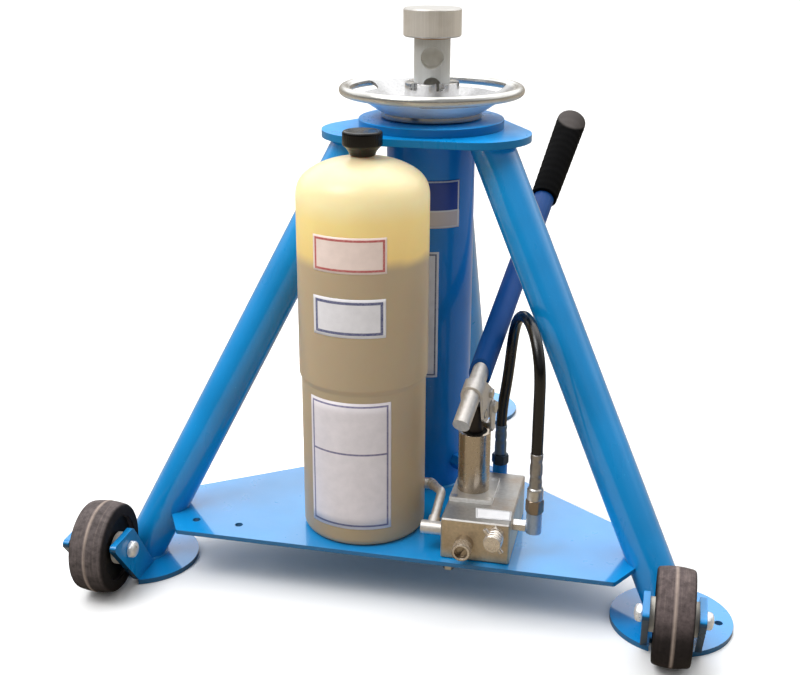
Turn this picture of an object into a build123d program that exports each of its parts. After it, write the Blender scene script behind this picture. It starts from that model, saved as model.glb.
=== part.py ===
from build123d import *
from math import atan2, cos, degrees, radians, sin, tan
import os

# Tripod jack. Millimetres and degrees. X points right, Y back, Z up.
# The origin is on the floor, on the lift axis.

# Fits
RUN = 0.05
SEAT = 0.1
SLACK = 1.0

# Feet
FOOT_CIRCLE_R = 357.5
FOOT_R = 66.0
FOOT_T = 6.0
ANCHOR_R = 4.5
ANCHOR_OUT = 50.4
LEG_AZIMUTHS = {"right": -30.0, "left": 210.0, "back": 90.0}

# Legs
LEG_R = 24.15
LEG_WALL = 3.7
LEG_TOP_R = 87.5

# Wheels on the two front feet
WHEEL_R = 51.5
WHEEL_HALF = 19.7
WHEEL_SHOULDER_R = 48.3
WHEEL_LIFT = 2.0
WHEEL_SIDE = {"right": 0.5, "left": 9.5}
WHEEL_FRONT = 75.4
HUB_R = 36.0
HUB_WEB_HALF = 14.0
HUB_BOSS_R = 15.0
HUB_BOSS_HALF = 16.0
AXLE_R = 6.35
AXLE_HEAD_R = 10.5
AXLE_HEAD_T = 8.5
LUG_GAP_HALF = 24.5
LUG_T = 7.0
LUG_FOOT = (18.0, 61.0)
LUG_TOP = (64.0, 116.0)
LUG_RISE = 68.0
LUG_NOSE_R = 5.0
NOTCH_IN = {"right": 22.0, "left": LUG_GAP_HALF + LUG_T}
NOTCH_OUT = 22.0
NOTCH_FROM = 46.0
SPACER_R = 18.0

# Base plate
PLATE_Z = 58.0
PLATE_T = 5.0
PLATE_FRONT_Y = -217.5
PLATE_FRONT_HALF = 247.6
PLATE_SIDE_Y = -129.5
PLATE_SIDE_HALF = 298.0
PLATE_BACK_Y = 72.0
PLATE_BACK_HALF = 24.0
PLATE_CORNER_R = 4.0
SHELF_HOLE_R = 4.5
SHELF_HOLE_X = -208.0
SHELF_HOLE_Y = -189.0
SHELF_HOLE_SPACING = 52.0

# Top plate and head flange
TOP_Z = 491.0
TOP_T = 8.0
TOP_CORNER_R = 66.4
TOP_CORNER_OUT = 60.7
FLANGE_R = 83.2
FLANGE_T = 10.0
FLANGE_BORE_R = 36.0
FLANGE_EDGE = 1.0

# Cylinder
CYL_R = 50.8
CYL_BORE_R = 41.2
CYL_BASE_T = 25.0
PORT_RISE = 33.0
PORT_HOLE_R = 4.0
GLAND_L = 54.0
WIPER_T = 8.0

# Ram and piston
RAM_R = 31.0
RAM_TOP_Z = 549.0
PISTON_RISE = 16.0
PISTON_T = 30.0
PISTON_GROOVE_DEPTH = 5.0
PISTON_GROOVE_T = 8.0
RAM_SPIGOT_R = 15.0
RAM_NOTCHES = 6
RAM_NOTCH_W = 10.0
RAM_NOTCH_DEPTH = 7.0

# Extension screw and load head
SCREW_R = 20.4
SCREW_L = 270.0
NECK_H = 48.0
WASHER_T = 2.0
HEAD_R = 32.6
HEAD_H = 31.0
HEAD_CHAMFER = 1.6
SPIGOT_R = 12.0
SPIGOT_H = 18.0
BAR_HOLE_R = 12.5
BAR_HOLE_RISE = 28.0
LOW_HOLE_R = 10.0
LOW_HOLE_DROP = 3.0
BAR_HOLE_AZIMUTH = -78.5
BAR_HOLE_PAST = 8.0
DRILL_POINT = 0.6

# Lock nut and handwheel
NUT_R = 57.5
NUT_T = 5.5
NUT_GAP = 1.7
NUT_BOSS_R = 40.0
NUT_BOSS_T = 14.0
DISH_T = 3.5
DISH_FLAT_R = 58.0
DISH_EDGE_IN = 2.6
DISH_EDGE_UP = 3.0
RIM_R = 99.6
RIM_TUBE_R = 5.7
RIM_RISE = 24.2
WINDOWS = 3
WINDOW_MID_R = 86.5
WINDOW_W = 13.0
WINDOW_SPAN = 66.0
WINDOW_AZIMUTH = 68.0

# Reservoir
TANK_X = -45.0
TANK_Y = -139.0
TANK_R = 71.5
TANK_LOW_R = 69.2
TANK_STEP_Z = 246.0
TANK_STEP_H = 4.0
TANK_SHOULDER_Z = 452.0
TANK_DOME_H = 34.0
TANK_DOME_KNOTS = ((0.965, 0.4), (0.65, 0.82))
TANK_WALL = 3.0
TANK_FOOT_R = 5.0
TANK_NECK_R = 11.0
FLUID_Z = 385.0
CAP_R = 21.3
CAP_H = 17.0
CAP_Z = 498.0
CAP_ROOF = 4.0
CAP_ROUND = 3.0
CAP_SKIRT_R = 16.0
CAP_SKIRT_H = 9.0

# Pump block
BLOCK_X = (58.0, 133.5)
BLOCK_Y = (-208.0, -82.0)
BLOCK_H = 48.0
BLOCK_EDGE = 1.5
BLOCK_BOLT_INSET = 8.5
BLOCK_BOLT_R = 4.0
BLOCK_BOLT_HEAD_R = 7.0
BLOCK_BOLT_HEAD_T = 11.0
BLOCK_BOLT_DEPTH = 15.0

# Pump barrel
BARREL_X = 81.3
BARREL_Y = -136.0
BARREL_R = 18.0
BARREL_TOP_Z = 186.0
BARREL_FLANGE = (48.0, 60.0)
BARREL_FLANGE_T = 5.0
BARREL_FLANGE_SIDE = 2.0
SCREW_HEAD_R = 3.6
SCREW_HEAD_T = 3.0
SCREW_SHANK_R = 2.0
SCREW_DEPTH = 12.0
SCREW_INSET = 5.5
PLUNGER_R = 9.5
PLUNGER_L = 82.0
PLUNGER_BORE_DEPTH = 26.0
PLUNGER_EDGE = 1.5
WIPER_R = 14.0
WIPER_DEPTH = 6.0

# Pump lever, in the upright plane of the lever through the barrel axis
LEVER_TURN = 8.2
LEVER_LIFT = 30.0
LEVER_Z = 241.0
FULCRUM_BACK = 20.0
FULCRUM_Z = 209.0
FULCRUM_R = 5.0
PIN_Z = 208.0
PIN_R = 4.0
PIN_SLOT = 3.0
ROD_R = 9.5
ROD_FRONT = 58.0
ROD_INSIDE = 95.0
STRAP_T = 3.0
STRAP_EYE_R = 9.5
STRAP_TOP = (-10.0, -6.0)
STRAP_TOP_R = 5.0
CLEVIS_BOLT_BACK = 15.0
CLEVIS_BOLT_Z = 227.0
CLEVIS_EYE_R = 6.5
CLEVIS_BOLT_R = 4.0
EAR_GAP = 0.3
EAR_T = 2.5
EAR_R = 8.0
SADDLE_T = 5.0
SADDLE_W = 20.0
SADDLE_Z = 150.0
FORK_Z = 180.0
FORK_H = 10.0
BOLT_HEAD_RATIO = 1.5
BOLT_HEAD_T = 3.0
HANDLE_R = 13.0
HANDLE_LIPS = (6.0, 27.0)
HANDLE_TO = 452.0
GRIP_R = (16.6, 19.4)
GRIP_FROM = 304.0
GRIP_END_T = 6.0
GRIP_ROUND = 2.5
GRIP_RIBS = 12
GRIP_RIB_DEPTH = 1.2
GRIP_RIB_W = 4.0

# Valves in the front face of the block
PLUG_X = 84.5
PLUG_RISE = 21.0
PLUG_R = 10.0
PLUG_L = 22.0
PLUG_SHANK_R = 7.0
PLUG_SHANK_L = 18.0
PLUG_SLOT_W = 2.6
PLUG_SLOT_DEPTH = 3.0
PLUG_SLOT_LEAN = 30.0
PLUG_MOUTH_R = 7.0
PLUG_MOUTH_DEPTH = 5.0
RELEASE_X = 118.0
RELEASE_RISE = 36.0
RELEASE_GLAND_R = 10.5
RELEASE_GLAND_L = 6.0
RELEASE_STEM_R = 5.0
RELEASE_STEM_L = 18.0
RELEASE_KNOB_R = 9.0
RELEASE_KNOB_L = 17.0
TEE_BAR_R = 2.5
TEE_BAR_L = 32.0
TEE_BAR_LEAN = 54.0

# Suction line from the reservoir to the left face of the block
SUCTION_R = 5.0
SUCTION_BEND_R = 10.0
OUTLET_R = 6.0
OUTLET_AZIMUTH = 12.0
OUTLET_REACH = 7.0
OUTLET_ARM = 8.0
OUTLET_Z = 109.0
SUCTION_TURN = (48.0, -152.0, 114.0)
TEE_MID = (46.0, -194.0, 91.0)
TEE_R = 7.5
TEE_LEFT = 12.0
TEE_NECK_R = 6.5
TEE_NECK_L = 13.0
CARTRIDGE_R = 7.0
CARTRIDGE_L = 16.0

# Pressure line
HOSE_R = 6.25
HOSE_BEND_SHARE = 0.45
FERRULE_R = 6.9
SWIVEL_R = 10.0
ELBOW_R = 8.5
ELBOW_DROP = 6.0
ADAPTER_R = 6.0
ADAPTER_HEX_R = 7.0
PUMP_LINE = (156.0, -180.0)
PUMP_LINE_RISE = 35.0
PUMP_NUT = (116.0, 132.0)
PUMP_FERRULE = (132.0, 186.0)
CYL_LINE = (102.0, -70.0)
CYL_NUT = (118.0, 130.0)
CYL_FERRULE = (130.0, 167.0)
PIPE_R = 6.0
PIPE_HEX_R = 10.0
PIPE_HEX_L = 11.0
HOSE_ROUTE = (
    (102.0, -70.0, 167.0),
    (102.0, -70.0, 186.0),
    (108.0, -71.0, 228.0),
    (112.5, -74.0, 280.0),
    (118.5, -90.0, 305.0),
    (128.8, -115.1, 318.5),
    (140.4, -142.8, 317.5),
    (150.3, -166.5, 302.0),
    (155.8, -179.4, 276.0),
    (156.0, -180.0, 233.0),
    (156.0, -180.0, 186.0),
)

# Heights and lengths that follow from the sizes above
PLATE_TOP = PLATE_Z + PLATE_T
BLOCK_TOP = PLATE_TOP + BLOCK_H
TOP_FACE = TOP_Z + TOP_T
FLANGE_TOP = TOP_FACE + FLANGE_T
WHEEL_Z = WHEEL_R + WHEEL_LIFT
PORT_Z = PLATE_TOP + PORT_RISE
PISTON_Z = PLATE_TOP + CYL_BASE_T + PISTON_RISE
RAM_Z = PISTON_Z + PISTON_T
NUT_Z = FLANGE_TOP + NUT_GAP
NUT_TOP = NUT_Z + NUT_T
NECK_TOP = RAM_TOP_Z + NECK_H
HEAD_Z = NECK_TOP + WASHER_T
RIM_Z = NUT_TOP + RIM_RISE
PLUG_Z = PLATE_TOP + PLUG_RISE
RELEASE_Z = PLATE_TOP + RELEASE_RISE
PUMP_LINE_Z = PLATE_TOP + PUMP_LINE_RISE
FLANGE_BASE_TOP = BLOCK_TOP + BARREL_FLANGE_T
TANK_DOME_Z = TANK_SHOULDER_Z + TANK_DOME_H
TANK_LIP_Z = CAP_Z + CAP_H - CAP_ROOF - SEAT
STRAP_IN = ROD_R + SEAT
STRAP_OUT = STRAP_IN + STRAP_T
EAR_IN = STRAP_OUT + EAR_GAP
EAR_OUT = EAR_IN + EAR_T
BIG = 2000.0

BASE = (Align.CENTER, Align.CENTER, Align.MIN)
LEVER = Pos(BARREL_X, BARREL_Y, 0) * Rot(0, 0, -LEVER_TURN)
ROD_DIR = Vector(0, cos(radians(LEVER_LIFT)), sin(radians(LEVER_LIFT)))
ROD_UP = Vector(0, -sin(radians(LEVER_LIFT)), cos(radians(LEVER_LIFT)))
ROD_ORIGIN = Vector(0, 0, LEVER_Z)


def polar(radius, azimuth):
    """Point in the floor plane at a radius and an azimuth."""
    return radius * cos(radians(azimuth)), radius * sin(radians(azimuth))


def cyl(radius, z0, z1, x=0.0, y=0.0):
    """Upright cylinder between two heights."""
    return Pos(x, y, z0) * Cylinder(radius, z1 - z0, align=BASE)


def ring(outer, inner, z0, z1, x=0.0, y=0.0):
    """Upright tube between two heights."""
    return cyl(outer, z0, z1, x, y) - cyl(inner, z0 - 1, z1 + 1, x, y)


def bar(radius, start, end):
    """Round bar between two points."""
    run = Vector(*end) - Vector(*start)
    return Plane(origin=start, z_dir=run) * Cylinder(radius, run.length, align=BASE)


def hex_bar(radius, start, end):
    """Six-sided bar between two points."""
    run = Vector(*end) - Vector(*start)
    return extrude(Plane(origin=start, z_dir=run) * RegularPolygon(radius, 6), run.length, dir=run)


def turned(points):
    """Solid turned about Z from an outline of radius and height pairs."""
    outline = Plane.XZ * Polyline(*points, close=True)
    return revolve(make_face(outline), Axis.Z)


def side_plate(outline, x0, x1):
    """Plate between two X values from an outline drawn in Y and Z."""
    return extrude(Plane.YZ.offset(x0) * outline, x1 - x0, dir=(1, 0, 0))


def eyes(circles):
    """Outline wrapped around circles given by two coordinates and a radius."""
    mid_u = sum(u for u, v, radius in circles) / len(circles)
    mid_v = sum(v for u, v, radius in circles) / len(circles)
    edges = []
    for u, v, radius in circles:
        inward = degrees(atan2(mid_v - v, mid_u - u))
        edges.append((Pos(u, v) * Rot(0, 0, inward) * Circle(radius)).edge())
    return make_hull(edges)


def on_rod(along, up=0.0):
    """Point on the lever rod axis, or above it, in the lever plane."""
    return ROD_ORIGIN + ROD_DIR * along + ROD_UP * up


def save(name, *solids):
    """Write one node."""
    shape = solids[0] if len(solids) == 1 else Compound(list(solids))
    export_step(shape, f"parts/{name}.step")


def leg_body(azimuth, radius):
    """Leaning leg of one radius, cut level on the foot and under the top plate."""
    low = Vector(*polar(FOOT_CIRCLE_R, azimuth), FOOT_T)
    high = Vector(*polar(LEG_TOP_R, azimuth), TOP_Z)
    past = (high - low).normalized() * (3 * LEG_R)
    slab = Pos(0, 0, FOOT_T) * Box(BIG, BIG, TOP_Z - FOOT_T, align=BASE)
    return bar(radius, low - past, high + past) & slab


def make_tripod():
    """Legs, feet, top plate and base plate."""
    leg_holes = []
    for side, azimuth in LEG_AZIMUTHS.items():
        x, y = polar(FOOT_CIRCLE_R, azimuth)
        save(f"leg_{side}", leg_body(azimuth, LEG_R) - leg_body(azimuth, LEG_R - LEG_WALL))
        leg_holes.append(leg_body(azimuth, LEG_R + SEAT))
        out = (0, ANCHOR_OUT) if side == "back" else (ANCHOR_OUT if side == "right" else -ANCHOR_OUT, 0)
        disc = cyl(FOOT_R, 0, FOOT_T, x, y) - cyl(ANCHOR_R, -1, FOOT_T + 1, x + out[0], y + out[1])
        if side != "back":
            outward = 1 if side == "right" else -1
            mid = x + outward * WHEEL_SIDE[side]
            low, high = sorted((mid - outward * NOTCH_IN[side], mid + outward * NOTCH_OUT))
            notch = Box(high - low, FOOT_R, 3 * FOOT_T, align=(Align.MIN, Align.MAX, Align.CENTER))
            disc -= Pos(low, y - NOTCH_FROM, 0) * notch
        save(f"foot_disc_{side}", disc)

    corners = [polar(TOP_CORNER_OUT, azimuth) for azimuth in LEG_AZIMUTHS.values()]
    outline = eyes([(x, y, TOP_CORNER_R) for x, y in corners])
    top = Pos(0, 0, TOP_Z) * extrude(outline, TOP_T)
    save("top_plate", top - cyl(CYL_R + SEAT, TOP_Z - 1, TOP_FACE + 1))

    half = [
        (PLATE_FRONT_HALF, PLATE_FRONT_Y),
        (PLATE_SIDE_HALF, PLATE_SIDE_Y),
        (PLATE_BACK_HALF, PLATE_BACK_Y),
    ]
    outline = half + [(-x, y) for x, y in reversed(half)]
    plate = extrude(make_face(Polyline(*outline, close=True)), PLATE_T)
    plate = Pos(0, 0, PLATE_Z) * fillet(plate.edges().filter_by(Axis.Z), PLATE_CORNER_R)
    for hole in leg_holes:
        plate -= hole
    for step in (-0.5, 0.5):
        x = SHELF_HOLE_X + step * SHELF_HOLE_SPACING
        plate -= cyl(SHELF_HOLE_R, PLATE_Z - 1, PLATE_TOP + 1, x, SHELF_HOLE_Y)
    for x, y in block_bolts():
        plate -= cyl(BLOCK_BOLT_R + SEAT, PLATE_Z - 1, PLATE_TOP + 1, x, y)
    save("base_plate", plate)


def make_wheels():
    """Wheels, lugs and axles of the two front feet."""
    axles, spacers = [], []
    for side, outward in (("right", 1), ("left", -1)):
        foot_x, foot_y = polar(FOOT_CIRCLE_R, LEG_AZIMUTHS[side])
        mid, y = foot_x + outward * WHEEL_SIDE[side], foot_y - WHEEL_FRONT
        place = Pos(mid, y, WHEEL_Z) * Rot(0, 90, 0)
        tread = ThreePointArc(
            (WHEEL_SHOULDER_R, -WHEEL_HALF), (WHEEL_R, 0), (WHEEL_SHOULDER_R, WHEEL_HALF)
        )
        sides = Polyline(
            (WHEEL_SHOULDER_R, WHEEL_HALF),
            (HUB_R + SEAT, WHEEL_HALF),
            (HUB_R + SEAT, -WHEEL_HALF),
            (WHEEL_SHOULDER_R, -WHEEL_HALF),
        )
        tyre = revolve(make_face(Plane.XZ * Curve([*tread.edges(), *sides.edges()])), Axis.Z)
        save(f"wheel_tyre_{side}", place * tyre)
        hub = cyl(HUB_R, -HUB_WEB_HALF, HUB_WEB_HALF) + cyl(HUB_BOSS_R, -HUB_BOSS_HALF, HUB_BOSS_HALF)
        save(f"wheel_hub_{side}", place * (hub - cyl(AXLE_R + RUN, -BIG, BIG)))

        lug_hole = bar(AXLE_R + SEAT, (mid - BIG, y, WHEEL_Z), (mid + BIG, y, WHEEL_Z))
        corners = [
            (foot_y - LUG_FOOT[0], FOOT_T),
            (foot_y - LUG_FOOT[1], FOOT_T),
            (foot_y - LUG_TOP[1], FOOT_T + LUG_RISE),
            (foot_y - LUG_TOP[0], FOOT_T + LUG_RISE),
        ]
        outline = make_face(Polyline(*corners, close=True))
        high = outline.vertices().sort_by(Axis.Y)[-2:]
        outline = fillet(high, LUG_NOSE_R)
        lugs = []
        for hand in (1, -1):
            inner, outer = mid + hand * LUG_GAP_HALF, mid + hand * (LUG_GAP_HALF + LUG_T)
            lugs.append(side_plate(outline, min(inner, outer), max(inner, outer)) - lug_hole)
            spacer_from = mid + hand * (HUB_BOSS_HALF + 2 * SEAT)
            spacer = bar(SPACER_R, (spacer_from, y, WHEEL_Z), (inner, y, WHEEL_Z))
            spacers.append(spacer - lug_hole)
        save(f"wheel_lugs_{side}", *lugs)

        reach = LUG_GAP_HALF + LUG_T
        ends = [(mid + hand * reach, y, WHEEL_Z) for hand in (-1, 1)]
        tips = [(mid + hand * (reach + AXLE_HEAD_T), y, WHEEL_Z) for hand in (-1, 1)]
        axles.append(bar(AXLE_R, ends[0], tips[1]) + hex_bar(AXLE_HEAD_R, ends[0], tips[0]))
        axles.append(hex_bar(AXLE_HEAD_R, ends[1], tips[1]) - lug_hole)
    save("axle_bolts", *axles)
    save("hub_spacers", *spacers)


def make_cylinder():
    """Cylinder tube with its base, head flange and gland."""
    way = Vector(*CYL_LINE, 0).normalized()
    port = bar(PORT_HOLE_R, (0, 0, PORT_Z), way * BIG + Vector(0, 0, PORT_Z))
    save("cylinder_tube", ring(CYL_R, CYL_BORE_R, PLATE_TOP, TOP_FACE) - port)
    save("cylinder_base", cyl(CYL_BORE_R - RUN, PLATE_TOP, PLATE_TOP + CYL_BASE_T))
    flange = ring(FLANGE_R, FLANGE_BORE_R, TOP_FACE, FLANGE_TOP)
    rim = flange.edges().filter_by(GeomType.CIRCLE).group_by(Axis.Z)[-1].sort_by(SortBy.RADIUS)[-1]
    save("head_flange", chamfer(rim, FLANGE_EDGE))
    save("gland_bush", ring(CYL_BORE_R - RUN, RAM_R + RUN, TOP_FACE - GLAND_L, TOP_FACE))
    save("rod_wiper", ring(FLANGE_BORE_R - RUN, RAM_R + RUN, TOP_FACE, TOP_FACE + WIPER_T))


def make_ram():
    """Ram, piston, extension screw, load head, lock nut and handwheel."""
    ram = cyl(RAM_R, RAM_Z, RAM_TOP_Z) + cyl(RAM_SPIGOT_R, PISTON_Z, RAM_Z)
    ram -= cyl(SCREW_R + RUN, NECK_TOP - SCREW_L - SLACK, RAM_TOP_Z + 1)
    notch = Box(RAM_R, RAM_NOTCH_W, 2 * RAM_NOTCH_DEPTH, align=(Align.MIN, Align.CENTER, Align.CENTER))
    for step in range(RAM_NOTCHES):
        ram -= Pos(0, 0, RAM_TOP_Z) * Rot(0, 0, step * 360 / RAM_NOTCHES) * Pos(SCREW_R, 0, 0) * notch
    save("ram", ram)

    groove_z = PISTON_Z + (PISTON_T - PISTON_GROOVE_T) / 2
    groove_r = CYL_BORE_R - PISTON_GROOVE_DEPTH
    piston = ring(CYL_BORE_R - RUN, RAM_SPIGOT_R + RUN, PISTON_Z, RAM_Z)
    piston -= ring(CYL_R, groove_r, groove_z, groove_z + PISTON_GROOVE_T)
    save("piston", piston)
    seal_z = (groove_z + SEAT, groove_z + PISTON_GROOVE_T - SEAT)
    save("piston_seal", ring(CYL_BORE_R - RUN, groove_r + RUN, *seal_z))

    screw = cyl(SCREW_R, NECK_TOP - SCREW_L, NECK_TOP) + cyl(SPIGOT_R, NECK_TOP, NECK_TOP + SPIGOT_H)
    way = Vector(*polar(1, BAR_HOLE_AZIMUTH), 0)
    for radius, z in (
        (BAR_HOLE_R, RAM_TOP_Z + BAR_HOLE_RISE),
        (LOW_HOLE_R, RAM_TOP_Z - LOW_HOLE_DROP),
    ):
        deep = Vector(0, 0, z) - way * BAR_HOLE_PAST
        screw -= bar(radius, deep, deep + way * (HEAD_R + BAR_HOLE_PAST))
        screw -= Plane(origin=deep, z_dir=-way) * Cone(radius, 0, radius * DRILL_POINT, align=BASE)
    save("extension_screw", screw)
    washer_z = (NECK_TOP + RUN, HEAD_Z)
    save("thrust_washer", ring(SCREW_R, SPIGOT_R + RUN, *washer_z))
    head = chamfer(cyl(HEAD_R, HEAD_Z, HEAD_Z + HEAD_H).edges().filter_by(GeomType.CIRCLE), HEAD_CHAMFER)
    save("load_head", head - cyl(SPIGOT_R + RUN, HEAD_Z - 1, NECK_TOP + SPIGOT_H + SLACK))

    nut = cyl(NUT_R, NUT_Z, NUT_TOP) + cyl(NUT_BOSS_R, NUT_TOP, NUT_TOP + NUT_BOSS_T)
    save("lock_nut", nut - cyl(RAM_R + RUN, NUT_Z - 1, RAM_TOP_Z))
    dish_edge_r, dish_edge_z = RIM_R - DISH_EDGE_IN, RIM_Z + DISH_EDGE_UP
    dish = turned(
        [
            (NUT_BOSS_R + SEAT, NUT_TOP),
            (DISH_FLAT_R, NUT_TOP),
            (dish_edge_r, dish_edge_z - DISH_T / 2),
            (dish_edge_r, dish_edge_z + DISH_T / 2),
            (DISH_FLAT_R, NUT_TOP + DISH_T),
            (NUT_BOSS_R + SEAT, NUT_TOP + DISH_T),
        ]
    )
    for step in range(WINDOWS):
        start = WINDOW_AZIMUTH + step * 360 / WINDOWS - WINDOW_SPAN / 2
        kidney = SlotArc(CenterArc((0, 0), WINDOW_MID_R, start, WINDOW_SPAN), WINDOW_W)
        dish -= Pos(0, 0, NUT_Z) * extrude(kidney, RIM_Z)
    save("handwheel", dish + Pos(0, 0, RIM_Z) * Torus(RIM_R, RIM_TUBE_R))


def bottle(skin):
    """Reservoir outline turned solid, drawn in by a wall thickness."""
    upper, lower, neck = TANK_R - skin, TANK_LOW_R - skin, TANK_NECK_R - skin
    foot = PLATE_TOP + skin
    walls = Polyline(
        (0, TANK_LIP_Z),
        (0, foot),
        (lower - TANK_FOOT_R, foot),
        (lower, foot + TANK_FOOT_R),
        (lower, TANK_STEP_Z),
        (upper, TANK_STEP_Z + TANK_STEP_H),
        (upper, TANK_SHOULDER_Z - skin),
    )
    dome = Spline(
        (upper, TANK_SHOULDER_Z - skin),
        *[(upper * out, TANK_SHOULDER_Z - skin + rise * TANK_DOME_H) for out, rise in TANK_DOME_KNOTS],
        (neck, TANK_DOME_Z - skin),
        tangents=((0, 1), (-1, 0)),
    )
    spout = Polyline((neck, TANK_DOME_Z - skin), (neck, TANK_LIP_Z), (0, TANK_LIP_Z))
    outline = Plane.XZ * Curve([*walls.edges(), *dome.edges(), *spout.edges()])
    return Pos(TANK_X, TANK_Y, 0) * revolve(make_face(outline), Axis.Z)


def make_reservoir():
    """Reservoir, fluid, cap and suction line."""
    save("reservoir", bottle(0) - bottle(TANK_WALL))
    level = Pos(TANK_X, TANK_Y, 0) * Box(BIG, BIG, FLUID_Z, align=BASE)
    save("hydraulic_fluid", bottle(TANK_WALL + SEAT) & level)
    cap = cyl(CAP_R, CAP_Z, CAP_Z + CAP_H, TANK_X, TANK_Y)
    cap = fillet(cap.edges().filter_by(GeomType.CIRCLE).group_by(Axis.Z)[-1], CAP_ROUND)
    cap += cyl(CAP_SKIRT_R, CAP_Z - CAP_SKIRT_H, CAP_Z, TANK_X, TANK_Y)
    cap_bore = cyl(TANK_NECK_R + RUN, TANK_DOME_Z, CAP_Z + CAP_H - CAP_ROOF, TANK_X, TANK_Y)
    save("filler_cap", cap - cap_bore)

    tank_side = cyl(TANK_LOW_R + RUN, PLATE_TOP, TANK_STEP_Z, TANK_X, TANK_Y)
    tank_mid = Vector(TANK_X, TANK_Y, OUTLET_Z)
    turn, tee_mid = Vector(*SUCTION_TURN), Vector(*TEE_MID)
    elbow = tank_mid + Vector(*polar(TANK_LOW_R + OUTLET_REACH, OUTLET_AZIMUTH), 0)
    arm = (turn - elbow).normalized()
    outlet_end = elbow + arm * OUTLET_ARM
    outlet = bar(OUTLET_R, tank_mid, elbow) + bar(OUTLET_R, elbow, outlet_end)
    outlet += Pos(*elbow) * Sphere(OUTLET_R)
    save("outlet_fitting", outlet - tank_side)
    neck_end = tee_mid + (turn - tee_mid).normalized() * TEE_NECK_L
    path = FilletPolyline(outlet_end, turn, neck_end, radius=SUCTION_BEND_R)
    save("suction_tube", sweep(Plane(outlet_end, z_dir=arm) * Circle(SUCTION_R), path=path))
    tee = bar(TEE_R, (TEE_MID[0] - TEE_LEFT, *TEE_MID[1:]), (BLOCK_X[0], *TEE_MID[1:]))
    save("suction_tee", tee + bar(TEE_NECK_R, TEE_MID, neck_end))


def block_bolts():
    """Centres of the two bolts that hold the block down, on a diagonal."""
    xs = (BLOCK_X[0] + BLOCK_BOLT_INSET, BLOCK_X[1] - BLOCK_BOLT_INSET)
    ys = (BLOCK_Y[0] + BLOCK_BOLT_INSET, BLOCK_Y[1] - BLOCK_BOLT_INSET)
    return list(zip(xs, ys))


def flange_screws():
    """Centres of the screws that hold the barrel flange."""
    half_x, half_y = BARREL_FLANGE[0] / 2 - SCREW_INSET, BARREL_FLANGE[1] / 2 - SCREW_INSET
    mid = BARREL_X + BARREL_FLANGE_SIDE
    return [(mid + sx * half_x, BARREL_Y + sy * half_y) for sx in (-1, 1) for sy in (-1, 1)]


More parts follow.
